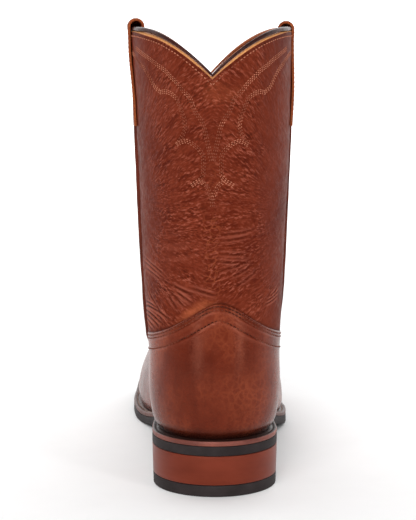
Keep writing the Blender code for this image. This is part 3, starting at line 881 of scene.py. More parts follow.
def shaft_marks(base, edge_z):
    """Where the leather is wrinkled, creased, stretched or gathered, and where shade and highlights are
    painted.
    """
    x, y, z = np.moveaxis(base, -1, 0)
    at_back = y < BACK_HALF
    above = z - edge_z
    strip = smooth(STRIP["edge"] - np.abs(x - STRIP["x"]) / STRIP["half"])
    strip *= smooth((STRIP["top"] - z) / STRIP["fade"]) * at_back
    gathered = np.zeros(x.shape)
    for strength, middle, wide, height, high in GATHERED:
        gathered += strength * np.exp(-(((x - middle) / wide) ** 2) - ((z - height) / high) ** 2) * at_back
    wrinkled = smooth((RUGGED["half"] - np.abs(x - RUGGED["x"])) / RUGGED["fade"])
    wrinkled = RUGGED["least"] + (1 - RUGGED["least"]) * wrinkled
    worn_flat = 1 - 0.45 * strip * smooth((z - 140) / 20)
    calm = 0.75 + 0.25 * smooth((above - 6) / 18)
    creased = folded(base)
    # Painted shade in the crease troughs and in a line just above the overlays' edge, where its step would
    # cast shadow
    trough = np.clip(-2.2 * creased, 0.0, 0.9) + 0.7 * np.exp(-((above / 1.1) ** 2))
    return {
        "flow": (hide_flow(base) + SHIFT) * MM,
        "rugged": wrinkled * worn_flat * calm + gathered,
        "seam_strip": strip,
        "net": strip * (0.4 + 0.6 * smooth((165 - z) / 15)),
        "trough": np.clip(trough, 0.0, 0.8),
        # Painted highlight on the crease lips, stronger where the leather is gathered
        "crest": np.clip((2.8 + 1.4 * gathered) * creased, 0.0, 0.8),
        "stretched": (stretched_patch("hump", x, above) + stretched_patch("collar", x, z)) * at_back,
    }


print("leather gathered at", len(GATHERED), "places")

# %% Shaft leather
SHAFT_COLUMNS = {"counter": 230, "vamp": 110}
SHAFT_ROWS = 250
HIDDEN_ROWS = 18
RIM_SHADE = 0.6
RAW_LOST = {"sides": 0.45, "dips": 0.4}


def make_shaft():
    angles, edges, collars = boot_columns(SHAFT_COLUMNS)
    collar_angles = angles(collars)
    top = collar_z(collar_angles)
    side = np.abs(np.sin(collar_angles - COLLAR["turn"]))
    shown = 1 - RAW_LOST["sides"] * smooth((side - 0.75) / 0.2)
    shown -= RAW_LOST["dips"] * smooth((0.25 - side) / 0.2)
    stretch = collar_stretch(collar_angles) * shown
    bevel = [level_of(collar_angles, top - drop * stretch) for drop, _ in BEVEL]
    share = np.linspace(0.0, 1.0, SHAFT_ROWS)[:, None]
    levels = np.concatenate((edges - TUCK + (bevel[0] - edges + TUCK) * share, bevel[1:]))
    angle = angles(levels)
    base, normal = skin_at(angle, levels), skin_normal(angle, levels)
    edge_z = skin_at(angles(edges), edges)[..., 2]
    relief = shaft_relief(base, base[..., 2] - edge_z)
    marks = shaft_marks(base, edge_z)
    marks["raw"] = np.zeros(levels.shape)
    rim = SHAFT_ROWS - 1
    # Painted shade in a thin line just under the raw collar edge
    marks["trough"][rim - 1] = RIM_SHADE
    for row, (_, out) in enumerate(BEVEL):
        relief[rim + row] = relief[rim] + out
        marks["raw"][rim + row] = float(row > 0)
    outer = base + normal * relief[..., None]
    inner = base - normal * SHAFT_THICKNESS
    return make_wall("shaft_leather", outer, inner, True, [CHESTNUT_SHAFT], marks, HIDDEN_ROWS)


dress(make_shaft(), "upper_leather", "upper")

# %% [markdown]
# The lining
#
# Inside, a smooth tan lining runs from the insole to the collar. It is a second thin wall, a tenth of a
# millimetre inside the shaft's leather, and it fills the wall's full thickness below the shaft where the
# overlays lie.

# %% Lining
LINING = plain_finish(
    "lining_tan", ((0.300, 0.085, 0.032), (0.420, 0.130, 0.048)), ((33, 33, 45), 4), ((0.7, 0.7, 0.7), 2),
    (0.55, 0.72), 0.06, Specular_IOR_Level=0.4,
)
LINING_COLUMNS = {"counter": 64, "vamp": 72}
LINING_ROWS = 72
LINING_FOOT = 0.02
LINING_OFF = 0.1
LINING_INSIDE = WALL + 0.25
LINING_RIPPLE = 0.25


def make_lining():
    angles, edges, collars = boot_columns(LINING_COLUMNS)
    share = np.linspace(0.0, 1.0, LINING_ROWS)[:, None]
    levels = LINING_FOOT + (collars - LINING_FOOT) * share
    angle = angles(levels)
    base, normal = skin_at(angle, levels), skin_normal(angle, levels)
    covered = smooth((levels - edges + TUCK + 0.5) / 0.4)
    outer = base - normal * (LINING_OFF + SHAFT_THICKNESS * covered)[..., None]
    ripple = LINING_RIPPLE * waves(base, (40, 40, 30)) * smooth((collars - levels) / 0.5)
    inner = base - normal * (LINING_INSIDE + ripple)[..., None]
    return make_wall("shaft_lining", outer, inner, True, [LINING])


dress(make_lining(), "upper_leather")

# %% [markdown]
# Counter and vamp
#
# The counter wraps the heel and the vamp the forefoot, both cut from the same hide and laid over the
# shaft. Each is a wall that lies just off the upper and rounds over at its top edge. Rows of stitching
# press a groove into it, and the vamp has a few soft flex folds across the ball. The leather is pared
# thinner towards the side seams, and its gloss is tinted warm, which keeps it brown where the white
# studio would grey it.

# %% Overlay finish
WARM_GLOSS = (1.0, 0.42, 0.28, 1.0)
OVERLAY_DARK = (0.066, 0.007, 0.003)
OVERLAY_MIDDLE = (0.112, 0.015, 0.006)
OVERLAY_WARM = (0.165, 0.028, 0.012)
OVERLAY_VEIN = (0.330, 0.075, 0.030)
# Near black, for the painted contact shadow at the overlays' foot
OVERLAY_SHADOW = (0.012, 0.003, 0.002)


def overlay_finish():
    leather = Finish("chestnut_overlay", Specular_IOR_Level=0.34, Specular_Tint=WARM_GLOSS)
    streaks = leather.noise((9, 9, 60), detail=4)
    blotches = leather.noise((26, 26, 34), detail=4)
    grain = leather.cells((1.0, 1.0, 1.0), warp=0.6)
    tone = leather.sums("ADD", leather.times(streaks, 0.35), leather.times(blotches, 0.65))
    veined = leather.ramp(blotches, (0.45, 0.0), (0.62, 1.0))
    veins = leather.cells((3.6, 3.6, 4.2), "DISTANCE_TO_EDGE", 4.0)
    veins = leather.times(leather.ramp(veins, (0.0, 0.24), (0.22, 0.0)), veined)

    colour = leather.ramp(tone, (0.32, OVERLAY_DARK), (0.50, OVERLAY_MIDDLE), (0.68, OVERLAY_WARM))
    colour = leather.mix(0.3, colour, leather.ramp(grain, (0.25, 1.0), (0.75, 0.70)), "MULTIPLY")
    colour = leather.mix(veins, colour, OVERLAY_VEIN)
    # Painted shade in hollows, painted highlight on groove lips, painted contact shadow at the foot
    colour = leather.mix(leather.mark("trough"), colour, CHESTNUT_SHADE)
    colour = leather.mix(leather.mark("crest"), colour, CREST_HIGHLIGHT)
    colour = leather.mix(leather.mark("contact_shadow"), colour, OVERLAY_SHADOW)

    rough = leather.ramp(leather.noise((8, 8, 6)), (0.30, 0.22), (0.75, 0.32))
    relief = leather.bump(leather.noise((4, 4, 4), detail=3), 0.10)
    relief = leather.bump(leather.ramp(grain, (0.1, 1.0), (0.9, 0.0)), 0.04, relief)
    return leather.done(colour, rough, relief)


CHESTNUT_OVERLAY = overlay_finish()
print("overlay finish:", len(CHESTNUT_OVERLAY.node_tree.nodes), "nodes")

# %% Overlays
EDGE_ROWS = {"counter": (1.4, 3.2, 9.4), "vamp": (1.4, 3.2)}
# Strength and height of the painted contact shadow at each overlay's foot
SEAT_SHADE = {"counter": (0.92, 8.0), "vamp": (0.6, 5.0)}
SKIVED = {"counter": 0.8, "vamp": 0.4}
SKIVED_FROM = {"share": 0.3, "over": 0.45, "z": 62, "rise": 18}
# Place along the foot, depth, width
FLEX_FOLDS = (
    (196, 0.55, 1.0),
    (206, 0.45, 0.8),
    (217, 0.30, 0.7),
)
FLEX_BOW = 0.0064
ROW_GROOVE = 0.36
INNER_ROW_GROOVE = 0.22
GROOVE = {"width": 0.7, "lip": 0.16, "lip_place": 1.3, "lip_width": 0.6}
EDGE_STEPS = 300
OVERLAY_GRID = {"counter": (90, 130), "vamp": (100, 190)}
OVERLAY_OFF = 0.15
OVERLAY_BED = 0.05
OVERLAY_FOOT = 0.2
ROUND_OVER = ((1.5, 1.0), (0.9, 0.95), (0.45, 0.78), (0.15, 0.5), (0.0, 0.25))


def edge_path(panel, steps):
    """Points and normals of an overlay's top edge, from one side seam to the other."""
    share = np.linspace(-1.0, 1.0, steps)
    level = edge_level(panel, share)
    angle = panel_angle(panel, share, level)
    return skin_at(angle, level), skin_normal(angle, level)


OVERLAY_EDGES = {panel: edge_path(panel, EDGE_STEPS) for panel in EDGE_ROWS}


def overlay_relief(panel, base, edge_far):
    """Slow waves, a groove with a lip for each row of stitches, and the vamp's flex folds."""
    relief = 0.30 * waves(base, (38, 38, 30)) * smooth(edge_far / 8.0)
    for row in EDGE_ROWS[panel]:
        groove = ROW_GROOVE if row < 5 else INNER_ROW_GROOVE
        relief -= groove * np.exp(-(((edge_far - row) / GROOVE["width"]) ** 2))
        beyond = (edge_far - row - GROOVE["lip_place"]) / GROOVE["lip_width"]
        relief += GROOVE["lip"] * np.exp(-(beyond**2))
    if panel == "vamp":
        bend = base[..., 1] + FLEX_BOW * (base[..., 0] - 3) ** 2 + 2.0 * waves(base, (35, 35, 35))
        top = smooth((base[..., 2] - 44) / 14)
        for y, depth, width in FLEX_FOLDS:
            relief += depth * top * fold_section((bend - y) / (3.0 * width))
    return relief


def kept_thickness(panel, share, z):
    """Share of the leather's thickness that is left where it is pared towards the side seams."""
    aside = smooth((np.abs(share) - SKIVED_FROM["share"]) / SKIVED_FROM["over"])
    return 1 - SKIVED[panel] * aside * smooth((z - SKIVED_FROM["z"]) / SKIVED_FROM["rise"])


def make_overlay(panel, rows, columns):
    share = np.linspace(-1.0, 1.0, columns)
    top = edge_level(panel, share)
    top_z = skin_at(panel_angle(panel, share, top), top)[..., 2]
    cut = [level_of(panel_angle(panel, share, top), top_z - drop) for drop, _ in ROUND_OVER]
    up = np.linspace(0.0, 1.0, rows)[:, None]
    levels = np.concatenate((OVERLAY_FOOT + (cut[0] - OVERLAY_FOOT) * up, cut[1:]))
    angle = panel_angle(panel, share, levels)
    base, normal = skin_at(angle, levels), skin_normal(angle, levels)
    edge_far, _ = distance_to(base, OVERLAY_EDGES[panel][0])
    relief = overlay_relief(panel, base, edge_far)
    kept_share = kept_thickness(panel, share, base[..., 2])
    outside = (OVERLAY + relief) * kept_share
    for row, (_, kept) in enumerate(ROUND_OVER):
        outside[rows - 1 + row] *= kept
    depth, reach = SEAT_SHADE[panel]
    above_welt = base[..., 2] - base[0, :, 2]
    marks = {
        # Painted shade in the hollows of grooves, folds and waves, painted highlight on the groove lips near
        # the edge, painted contact shadow at the foot over the welt
        "trough": np.clip(-2.0 * relief - 0.1, 0.0, 0.6) * kept_share,
        "crest": np.clip(1.8 * relief - 0.1, 0.0, 0.25) * smooth((14 - edge_far) / 4),
        "contact_shadow": depth * smooth(1 - above_welt / reach),
    }
    outer = base + normal * (OVERLAY_OFF + outside)[..., None]
    inner = base + normal * OVERLAY_BED
    return make_wall(f"{panel}_leather", outer, inner, False, [CHESTNUT_OVERLAY], marks)


dress(make_overlay("counter", *OVERLAY_GRID["counter"]), "counter_leather", "counter")
dress(make_overlay("vamp", *OVERLAY_GRID["vamp"]), "vamp_leather", "vamp")

# %% [markdown]
# Piping and binding
#
# A rounded strip of leather covers each side seam, and a rolled dark binding finishes the collar above
# the raw edge. Both are lofts: a section carried along a line. A bevelled curve would do for the
# binding, but a loft lets its thickness vary the way hand-turned leather does.

# %% Piping and binding finishes
def trim_finish(name, dark, light, coat, rough):
    return plain_finish(
        name, (dark, light), ((17, 17, 17), 4), ((3, 3, 3), 4), rough, 0.14, (0.32, 0.70),
        Coat_Weight=coat, Coat_Roughness=0.16, Specular_IOR_Level=0.1,
    )


PIPING = trim_finish("piping_brown", (0.060, 0.010, 0.005), (0.130, 0.022, 0.010), 0.0, (0.5, 0.66))
BINDING = trim_finish("binding_dark", (0.018, 0.005, 0.004), (0.050, 0.013, 0.010), 0.07, (0.22, 0.34))
print("trim finishes:", PIPING.name, BINDING.name)


# %% Side piping
def section_frames(line, toward):
    """Two square directions across a line: one near the wanted direction, one beside it."""
    run = unit(np.gradient(line, axis=0))
    beside_it = unit(np.cross(run, toward))
    return np.cross(beside_it, run), beside_it


PIPING_ROWS = 90
PIPING_SIDES = 9
PIPING_TOP = 209.4
PIPING_SUNK = 0.8
PIPING_PROUD = 1.7
PIPING_POINT = 12.0
MEDIAL_SWELL = 1.4


def make_piping(name, side):
    z = np.linspace(SEAM_LINE["bottom"] - SEAM_LINE["opens"] + 1, PIPING_TOP, PIPING_ROWS)
    level = np.full(z.shape, SEAM_LINE["straight_from"])
    for _ in range(SETTLING_ROUNDS):
        level = level_of(side_angle(level), z)
    angle = side * side_angle(level)
    base, normal = skin_at(angle, level), skin_normal(angle, level)
    out, across = section_frames(base, normal)
    turn = np.linspace(0.0, math.pi, PIPING_SIDES)
    point = smooth((z - z[0]) / PIPING_POINT)[:, None]
    ripple = 1 + 0.06 * waves(base, (9, 9, 9))[:, None]
    wide = SEAM_HALF_WIDTH * np.cos(turn) * (0.1 + 0.9 * point) * ripple
    proud = PIPING_PROUD + MEDIAL_SWELL * (side < 0) * smooth((120 - z) / 28)[:, None]
    high = (proud + PIPING_SUNK) * np.sin(turn) * (0.35 + 0.65 * point) * ripple - PIPING_SUNK
    loops = base[:, None] + across[:, None] * wide[..., None] + out[:, None] * high[..., None]
    return make_loft(name, loops, [PIPING])


dress(make_piping("side_piping_lateral", 1), "seam_leather", "side_seam_lateral")
dress(make_piping("side_piping_medial", -1), "seam_leather", "side_seam_medial")


# %% Collar binding
BINDING_STEPS = 360
BINDING_SIDES = 12
BINDING_RADIUS = 1.4
BINDING_INSET = 1.5
BINDING_MEDIAL_OUT = 2.0
BINDING_SIDE_DROP = 0.5


def make_binding():
    angle = np.linspace(0.0, 2 * math.pi, BINDING_STEPS + 1)[:-1]
    level = level_of(angle, collar_z(angle))
    medial = smooth((-np.sin(angle) - 0.75) / 0.2)[:, None]
    line = skin_at(angle, level) - skin_normal(angle, level) * (BINDING_INSET - BINDING_MEDIAL_OUT * medial)
    side = np.abs(np.sin(np.where(np.cos(angle) > 0, angle - COLLAR["turn"], angle)))
    slim = BINDING_RADIUS * (0.5 + 0.5 * smooth(side / 0.9))
    line[:, 2] = collar_z(angle) + (slim + GAP) * collar_stretch(angle)
    line[:, 2] -= BINDING_SIDE_DROP * smooth((side - 0.8) / 0.15)
    run = unit(np.roll(line, -1, axis=0) - np.roll(line, 1, axis=0))
    across = unit(np.cross(run, skin_normal(angle, level)))
    out = np.cross(across, run)
    turn = np.linspace(0.0, 2 * math.pi, BINDING_SIDES + 1)[:-1]
    radius = (slim * (0.96 + 0.05 * waves(line, (7, 7, 7))))[:, None, None]
    bead = out[:, None] * np.cos(turn)[:, None] + across[:, None] * np.sin(turn)[:, None]
    loops = line[:, None] + radius * bead
    inward = [int(math.cos(mid) < -0.1) for mid in turn + turn[1] / 2]
    return make_loft("collar_roll", loops, [BINDING, LINING], ring=True, indices=inward)


dress(make_binding(), "binding_leather", "collar_binding")

# %% [markdown]
# Pull straps
#
# Each strap is a doubled leather strip that rises from the side, arches over the collar and is sewn down
# inside. From behind, its cut edge shows as a bright tan line, so the edge faces of the loft take the
# raw finish.

# %% Strap finishes
CHESTNUT_STRAP = trim_finish(
    "chestnut_strap", (0.100, 0.018, 0.008), (0.190, 0.042, 0.020), 0.04, (0.4, 0.55),
)
FIBRE = ((1.1, 1.1, 1.4), 3)
RAW_EDGE = plain_finish(
    "raw_edge_tan", ((0.150, 0.031, 0.010), (0.340, 0.084, 0.024)), FIBRE, FIBRE,
    (0.6, 0.8), 0.12, Specular_IOR_Level=0.1,
)
print("strap finishes:", CHESTNUT_STRAP.name, RAW_EDGE.name)

# %% Strap sizes
STRAP = {
    "half_width": 13.0, "thickness": 1.6, "bow": 100.0, "lean": 0.7,
    "drop": {-1: 4.4, 1: 2.6}, "shift": {-1: 1.2, 1: 1.6},
}
STRAP_EDGE = {"flat": 0.4, "tip": 0.08, "shoulder": 0.72, "across": 15}
STRAP_OUTER_LEG = ((1.1, 209.8), (1.5, 228.0), (2.0, 248.0), (2.0, 260.0))
STRAP_ARCH = {"middle": -2.1, "z": 268.1, "radius": 4.1, "steps": 8, "lateral_drop": 1.6}
STRAP_INNER_LEG = ((-6.2, 260.0), (-5.4, 248.0), (-4.6, 232.0), (-3.9, 216.0))
print("straps", 2 * STRAP["half_width"], "mm wide")


# %% Pull straps
def strap_line(side):
    """Middle line of a strap as x and z: up the outside, over the collar, down inside."""
    def shaft_x(z):
        return skin_at(side * math.pi / 2, level_of(side * math.pi / 2, z))[..., 0]

    line = [(float(shaft_x(z)) + side * out, z) for out, z in STRAP_OUTER_LEG]
    base = float(shaft_x(STRAP_ARCH["z"]))
    for i in range(STRAP_ARCH["steps"] + 1):
        turn = math.pi * i / STRAP_ARCH["steps"]
        out = STRAP_ARCH["middle"] + STRAP_ARCH["radius"] * math.cos(turn)
        crown = STRAP_ARCH["z"] - STRAP_ARCH["lateral_drop"] * (side > 0)
        line.append((base + side * out, crown + STRAP_ARCH["radius"] * math.sin(turn)))
    line += [(float(shaft_x(z)) + side * out, z) for out, z in STRAP_INNER_LEG]
    return flowing(line, 5)


def strap_section():
    """Rounded flat section as (across, out), with the index of its finish for each side."""
    half, thick = STRAP["half_width"], STRAP["thickness"] / 2
    tip, shoulder = half - STRAP_EDGE["tip"], thick * STRAP_EDGE["shoulder"]
    flat = np.linspace(-half + STRAP_EDGE["flat"], half - STRAP_EDGE["flat"], STRAP_EDGE["across"])
    top = [(across, thick) for across in flat]
    right = [(tip, shoulder), (half, 0.0), (tip, -shoulder)]
    bottom = [(across, -thick) for across in flat[::-1]]
    left = [(-tip, -shoulder), (-half, 0.0), (-tip, shoulder)]
    points = top + right + bottom + left
    edge = [0] * (len(flat) - 1) + [1] * (len(right) + 1)
    return np.array(points), edge * 2


def strap_frames(side):
    line = strap_line(side)
    run = unit(np.gradient(line, axis=0))
    return line, np.stack((-run[:, 1], run[:, 0]), axis=-1)


def strap_points(side, across, out, rows=slice(None)):
    """Points at a place on the strap's section, all along its line."""
    line, away = (part[rows] for part in strap_frames(side))
    sag = side * across**2 / (2 * STRAP["bow"])
    forward = (across + STRAP["half_width"]) / (2 * STRAP["half_width"])
    arch = smooth((line[:, 1] - 262) / 8)
    outside = smooth((line[:, 0] * side - 44.5) / 2.5)
    lean = (side - STRAP["lean"]) * smooth((line[:, 1] - 212) / 20) * outside * (1 - arch)
    shift = STRAP["shift"][side] * smooth((line[:, 1] - 225) / 35)
    x = line[:, 0] + away[:, 0] * out - sag - lean * forward - shift
    z = line[:, 1] + away[:, 1] * out - STRAP["drop"][side] * arch * smooth(forward * 1.3 - 0.3)
    return np.stack((x, np.full(len(x), SEAM_LINE["y"] + across), z), axis=-1)


def make_strap(name, side):
    section, edge = strap_section()
    loops = np.stack([strap_points(side, across, out) for across, out in section], axis=1)
    if side > 0:
        loops, edge = loops[:, ::-1], edge[-2::-1] + edge[-1:]
    return make_loft(name, loops, [CHESTNUT_STRAP, RAW_EDGE], indices=edge)


dress(make_strap("strap_lateral", 1), "strap_leather", "pull_strap_lateral")
dress(make_strap("strap_medial", -1), "strap_leather", "pull_strap_medial")

# %% [markdown]
# Welt, sole and heel
#
# The welt is the strip that the upper and the sole are both sewn to. Below it come a dark rubber
# outsole, a painted heel block and a rubber heel cap. They are lofts with softened edges, because even a
# crisp sole edge catches a thin line of light.

# %% Sole finishes
WELT_DARK = (0.125, 0.027, 0.017)
WELT_LIGHT = (0.260, 0.070, 0.046)
# Colours of the painted shade in front of the heel and of the painted contact shadow against the upper
WELT_FRONT_SHADE = (0.034, 0.017, 0.014)
WELT_SHADOW = (0.012, 0.004, 0.003)
HEEL_DARK = (0.118, 0.018, 0.009)
HEEL_LIGHT = (0.170, 0.029, 0.015)


def welt_finish():
    leather = Finish("welt_brown", Specular_IOR_Level=0.3, Coat_Weight=0.08, Coat_Roughness=0.3)
    fibre = leather.noise((2.4, 2.4, 1.1), detail=4)
    worn = leather.noise((22, 22, 22), detail=4)
    colour = leather.ramp(worn, (0.30, WELT_DARK), (0.70, WELT_LIGHT))
    colour = leather.mix(0.5, colour, leather.ramp(fibre, (0.3, 0.66), (0.7, 1.0)), "MULTIPLY")
    # Painted shade in front of the heel, then painted contact shadow against the upper
    colour = leather.mix(leather.mark("front_shade"), colour, WELT_FRONT_SHADE)
    colour = leather.mix(leather.mark("contact_shadow"), colour, WELT_SHADOW)
    return leather.done(colour, leather.ramp(fibre, (0.3, 0.40), (0.7, 0.58)), leather.bump(fibre, 0.1))


def heel_finish():
    paint = Finish("heel_paint", Specular_IOR_Level=0.34, Specular_Tint=WARM_GLOSS)
    layers = paint.noise((40, 40, 2.0), detail=2)
    blotches = paint.noise((24, 24, 12), detail=4)
    colour = paint.ramp(blotches, (0.30, HEEL_DARK), (0.70, HEEL_LIGHT))
    colour = paint.mix(0.15, colour, paint.ramp(layers, (0.35, 0.7), (0.6, 1.0)), "MULTIPLY")
    return paint.done(colour, paint.ramp(blotches, (0.3, 0.34), (0.7, 0.44)), paint.bump(layers, 0.04))


WELT_LEATHER = welt_finish()
BLACK_RUBBER = plain_finish(
    "black_rubber", ((0.016, 0.011, 0.011), (0.032, 0.024, 0.024)), ((14, 14, 14), 4), ((0.6, 0.6, 0.6), 2),
    (0.56, 0.72), 0.05, (0.30, 0.72), Specular_IOR_Level=0.16,
)
HEEL_PAINT = heel_finish()
INSOLE_TAN = plain_finish(
    "insole_tan", ((0.260, 0.130, 0.060), (0.400, 0.215, 0.110)), ((38, 38, 38), 4), ((1.4, 1.4, 1.4), 4),
    (0.62, 0.8), 0.08, Specular_IOR_Level=0.3,
)
print("sole finishes:", WELT_LEATHER.name, BLACK_RUBBER.name, HEEL_PAINT.name, INSOLE_TAN.name)


# %% Welt
def insole_outline(angle, spread=0.0):
    """Plan just inside the upper's wall at the feather line."""
    zero = np.zeros(np.shape(angle))
    place = skin_at(angle, zero)
    run = unit((skin_at(angle + 0.01, zero) - skin_at(angle - 0.01, zero))[..., :2])
    inset = WALL + 2 * GAP - spread
    return place[..., 0] - run[..., 1] * inset, place[..., 1] + run[..., 0] * inset


WELT_STEPS = 240
# Painted contact shadow on the welt's top, and painted shade on its part in front of the heel
WELT_SHADE = {"all": 0.35, "heel": 0.6, "from": 110, "over": 30}
WELT_SHADED_FRONT = {"most": 0.55, "from": 70, "over": 45}
WELT_SECTION = (
    (0.0, 0.35), (0.35, 0.0), (-1.0, 0.0), (-1.0, 1.0), (3.4, 1.0), (3.0, 0.93),
    (2.5, 0.90), (2.0, 0.93), (1.6, 1.0), (0.6, 0.98), (0.18, 0.90), (0.0, 0.68),
)


def make_welt():
    """Each point of the section is an inset, -1 for the inner edge, and a share of the height."""
    angle = (np.arange(WELT_STEPS) + 0.5) * 2 * math.pi / WELT_STEPS
    inner_x, inner_y = insole_outline(angle, GAP)
    loops = []
    for inset, share in WELT_SECTION:
        x, y = (inner_x, inner_y) if inset < 0 else sole_outline(angle, inset)
        loops.append(np.stack((x, y, sole_z(y) + OUTSOLE + GAP + WELT * share), axis=-1))
    loops = np.stack(loops, axis=1)[:, ::-1]
    # Painted contact shadow darkens the top of the strip against the upper, and painted shade the part in
    # front of the heel
    on_top = np.array([inset < 0 or (inset > 0.5 and share > 0.8) for inset, share in WELT_SECTION])[::-1]
    at_heel = smooth((WELT_SHADE["from"] - loops[..., 1]) / WELT_SHADE["over"])
    contact_shadow = on_top * (WELT_SHADE["all"] + WELT_SHADE["heel"] * at_heel)
    front_shade = WELT_SHADED_FRONT["most"] * smooth((loops[..., 1] - WELT_SHADED_FRONT["from"]) / WELT_SHADED_FRONT["over"])
    marks = {"contact_shadow": contact_shadow.ravel(), "front_shade": front_shade.ravel()}
    return make_loft("welt_strip", loops, [WELT_LEATHER], ring=True, values=marks)


dress(make_welt(), "welt_leather", "welt")


# %% Outsole and insole
PLATE_STEPS = 110
SOFT_CORNER = ((0.0, 1.0), (0.18, 0.4), (0.5, 0.1), (1.0, 0.0))


def make_plate(name, outline, low, high, soften, finish):
    """Plate that bends along the sole, with softened edges."""
    angle = (np.arange(PLATE_STEPS) + 0.5) * math.pi / PLATE_STEPS
    side = [(soften * inset, low + soften * up) for inset, up in SOFT_CORNER[::-1]]
    side += [(soften * inset, high - soften * up) for inset, up in SOFT_CORNER]
    loops = []
    for way in (1, -1):
        for inset, height in side if way > 0 else side[::-1]:
            x, y = outline(way * angle)
            middle = (x + outline(-way * angle)[0]) / 2
            pull = np.clip(1 - inset / np.maximum(np.abs(x - middle), 0.01), 0.0, 1.0)
            loops.append(np.stack((middle + (x - middle) * pull, y, sole_z(y) + height), axis=-1))
    return make_loft(name, np.stack(loops, axis=1)[:, ::-1], [finish])


dress(make_plate("rubber_outsole", sole_outline, 0.0, OUTSOLE, 0.6, BLACK_RUBBER), "sole_rubber", "outsole")
footbed = make_plate("footbed", insole_outline, OUTSOLE + GAP, OUTSOLE + GAP + INSOLE, 0.8, INSOLE_TAN)
dress(footbed, "insole_leather", "insole")


# %% Heel block and cap
HEEL_STEPS = 61
BREAST_STEPS = 14
HEEL_RINGS = 6


def heel_loop(z, inset=0.0):
    """Outline of the heel at a height: round the back, hollow at the breast, tapering towards the floor."""
    drop = (SEAT - z) / SEAT
    inset = HEEL_TAPER * drop + inset
    breast = BREAST_TOP + (BREAST_FOOT - BREAST_TOP) * drop - inset
    reach = math.acos(1 - 2 * (breast - inset) / (LENGTH - 2 * inset))
    x, y = sole_outline(np.linspace(-reach, reach, HEEL_STEPS), inset)
    share = np.linspace(0.0, 1.0, BREAST_STEPS)[1:-1]
    across = x[-1] + (x[0] - x[-1]) * share
    hollow = breast - BREAST_HOLLOW * (1 - (2 * share - 1) ** 2)
    plan = np.stack((np.concatenate((x, across)), np.concatenate((y, hollow))), axis=-1)
    return np.concatenate((plan, np.full((len(plan), 1), z)), axis=1)


def make_heel(name, low, high, soften, finish):
    loops = [heel_loop(low + soften * up, soften * inset) for inset, up in SOFT_CORNER[::-1]]
    loops += [heel_loop(z) for z in np.linspace(low + soften, high - soften, HEEL_RINGS)[1:-1]]
    loops += [heel_loop(high - soften * up, soften * inset) for inset, up in SOFT_CORNER]
    return make_loft(name, np.stack(loops), [finish])


dress(make_heel("heel_stack", HEEL_CAP + GAP / 2, SEAT - GAP, 0.35, HEEL_PAINT), "heel_stack", "heel_block")
dress(make_heel("rubber_cap", 0.0, HEEL_CAP - GAP / 2, 0.6, BLACK_RUBBER), "sole_rubber", "heel_cap")

# %% [markdown]
# Stitches
#
# A stitch is a short bead of thread whose ends dive into the leather. Thousands of them follow the lines
# drawn above, which is work for Geometry Nodes: one tree walks along each line at a fixed pitch and sets
# a stretched bead on every step. The tree also stores how steeply the line climbs there, because the
# thread's finish paints thread that lies across lighter, as painted light from above. The result is
# turned into a plain mesh afterwards.


# %% Stitch tree
def stitch_tree():
    group = bpy.data.node_groups.new("stitch_row", "GeometryNodeTree")
    group.interface.new_socket("Geometry", in_out="INPUT", socket_type="NodeSocketGeometry")
    for name in ("Pitch", "Half length", "Thread radius"):
        group.interface.new_socket(name, in_out="INPUT", socket_type="NodeSocketFloat")
    group.interface.new_socket("Thread", in_out="INPUT", socket_type="NodeSocketMaterial")
    group.interface.new_socket("Geometry", in_out="OUTPUT", socket_type="NodeSocketGeometry")

    tree = Tree(group)
    given = tree.add("NodeGroupInput").outputs
    walk = tree.add("GeometryNodeMeshToCurve", {"Mesh": given["Geometry"]}).outputs[0]
    pace = {"Curve": walk, "Length": given["Pitch"]}
    steps = tree.add("GeometryNodeCurveToPoints", pace, mode="LENGTH").outputs
    upright = tree.add("ShaderNodeSeparateXYZ", {"Vector": steps["Tangent"]}).outputs["Z"]
    climb = {"Geometry": steps["Points"], "Name": "steep", "Value": tree.times(upright, upright)}
    noted = tree.add("GeometryNodeStoreNamedAttribute", climb).outputs[0]
    bead = tree.add("GeometryNodeMeshUVSphere", {"Segments": 6, "Rings": 4, "Radius": 1.0}).outputs["Mesh"]
    thin = given["Thread radius"]
    size = tree.add("ShaderNodeCombineXYZ", {"X": thin, "Y": thin, "Z": given["Half length"]}).outputs[0]
    along = tree.add("FunctionNodeAlignRotationToVector", {"Vector": steps["Tangent"]}, axis="Z").outputs[0]
    placed = {"Points": noted, "Instance": bead, "Rotation": along, "Scale": size}
    made = tree.add("GeometryNodeInstanceOnPoints", placed).outputs[0]
    made = tree.add("GeometryNodeRealizeInstances", {"Geometry": made}).outputs[0]
    made = tree.add("GeometryNodeSetShadeSmooth", {"Geometry": made}).outputs[0]
    made = tree.add("GeometryNodeSetMaterial", {"Geometry": made, "Material": given["Thread"]}).outputs[0]
    tree.add("NodeGroupOutput", {"Geometry": made})
    return group


STITCH_ROW = stitch_tree()
print("stitch tree:", len(STITCH_ROW.nodes), "nodes")


def sew(name, lines, thread, slot, pitch=2.5, length=2.1, radius=0.38):
    """Stitches along lines of points in millimetres."""
    points = (np.concatenate(lines) + SHIFT) * MM
    edges, start = [], 0
    for line in lines:
        edges += [(start + i, start + i + 1) for i in range(len(line) - 1)]
        start += len(line)
    mesh = bpy.data.meshes.new(name)
    mesh.from_pydata(points.tolist(), edges, [])
    guide = bpy.data.objects.new(f"{name}_guide", mesh)
    bpy.context.scene.collection.objects.link(guide)
    modifier = guide.modifiers.new("stitches", "NODES")
    modifier.node_group = STITCH_ROW
    sizes = {"Pitch": pitch * MM, "Half length": length / 2 * MM, "Thread radius": radius * MM}
    sizes["Thread"] = thread
    for item in STITCH_ROW.interface.items_tree:
        if item.in_out == "INPUT" and item.name in sizes:
            modifier[item.identifier] = sizes[item.name]
    seen = guide.evaluated_get(bpy.context.evaluated_depsgraph_get())
    sewn = bpy.data.objects.new(name, bpy.data.meshes.new_from_object(seen))
    bpy.data.objects.remove(guide)
    bpy.context.scene.collection.objects.link(sewn)
    dress(sewn, slot)


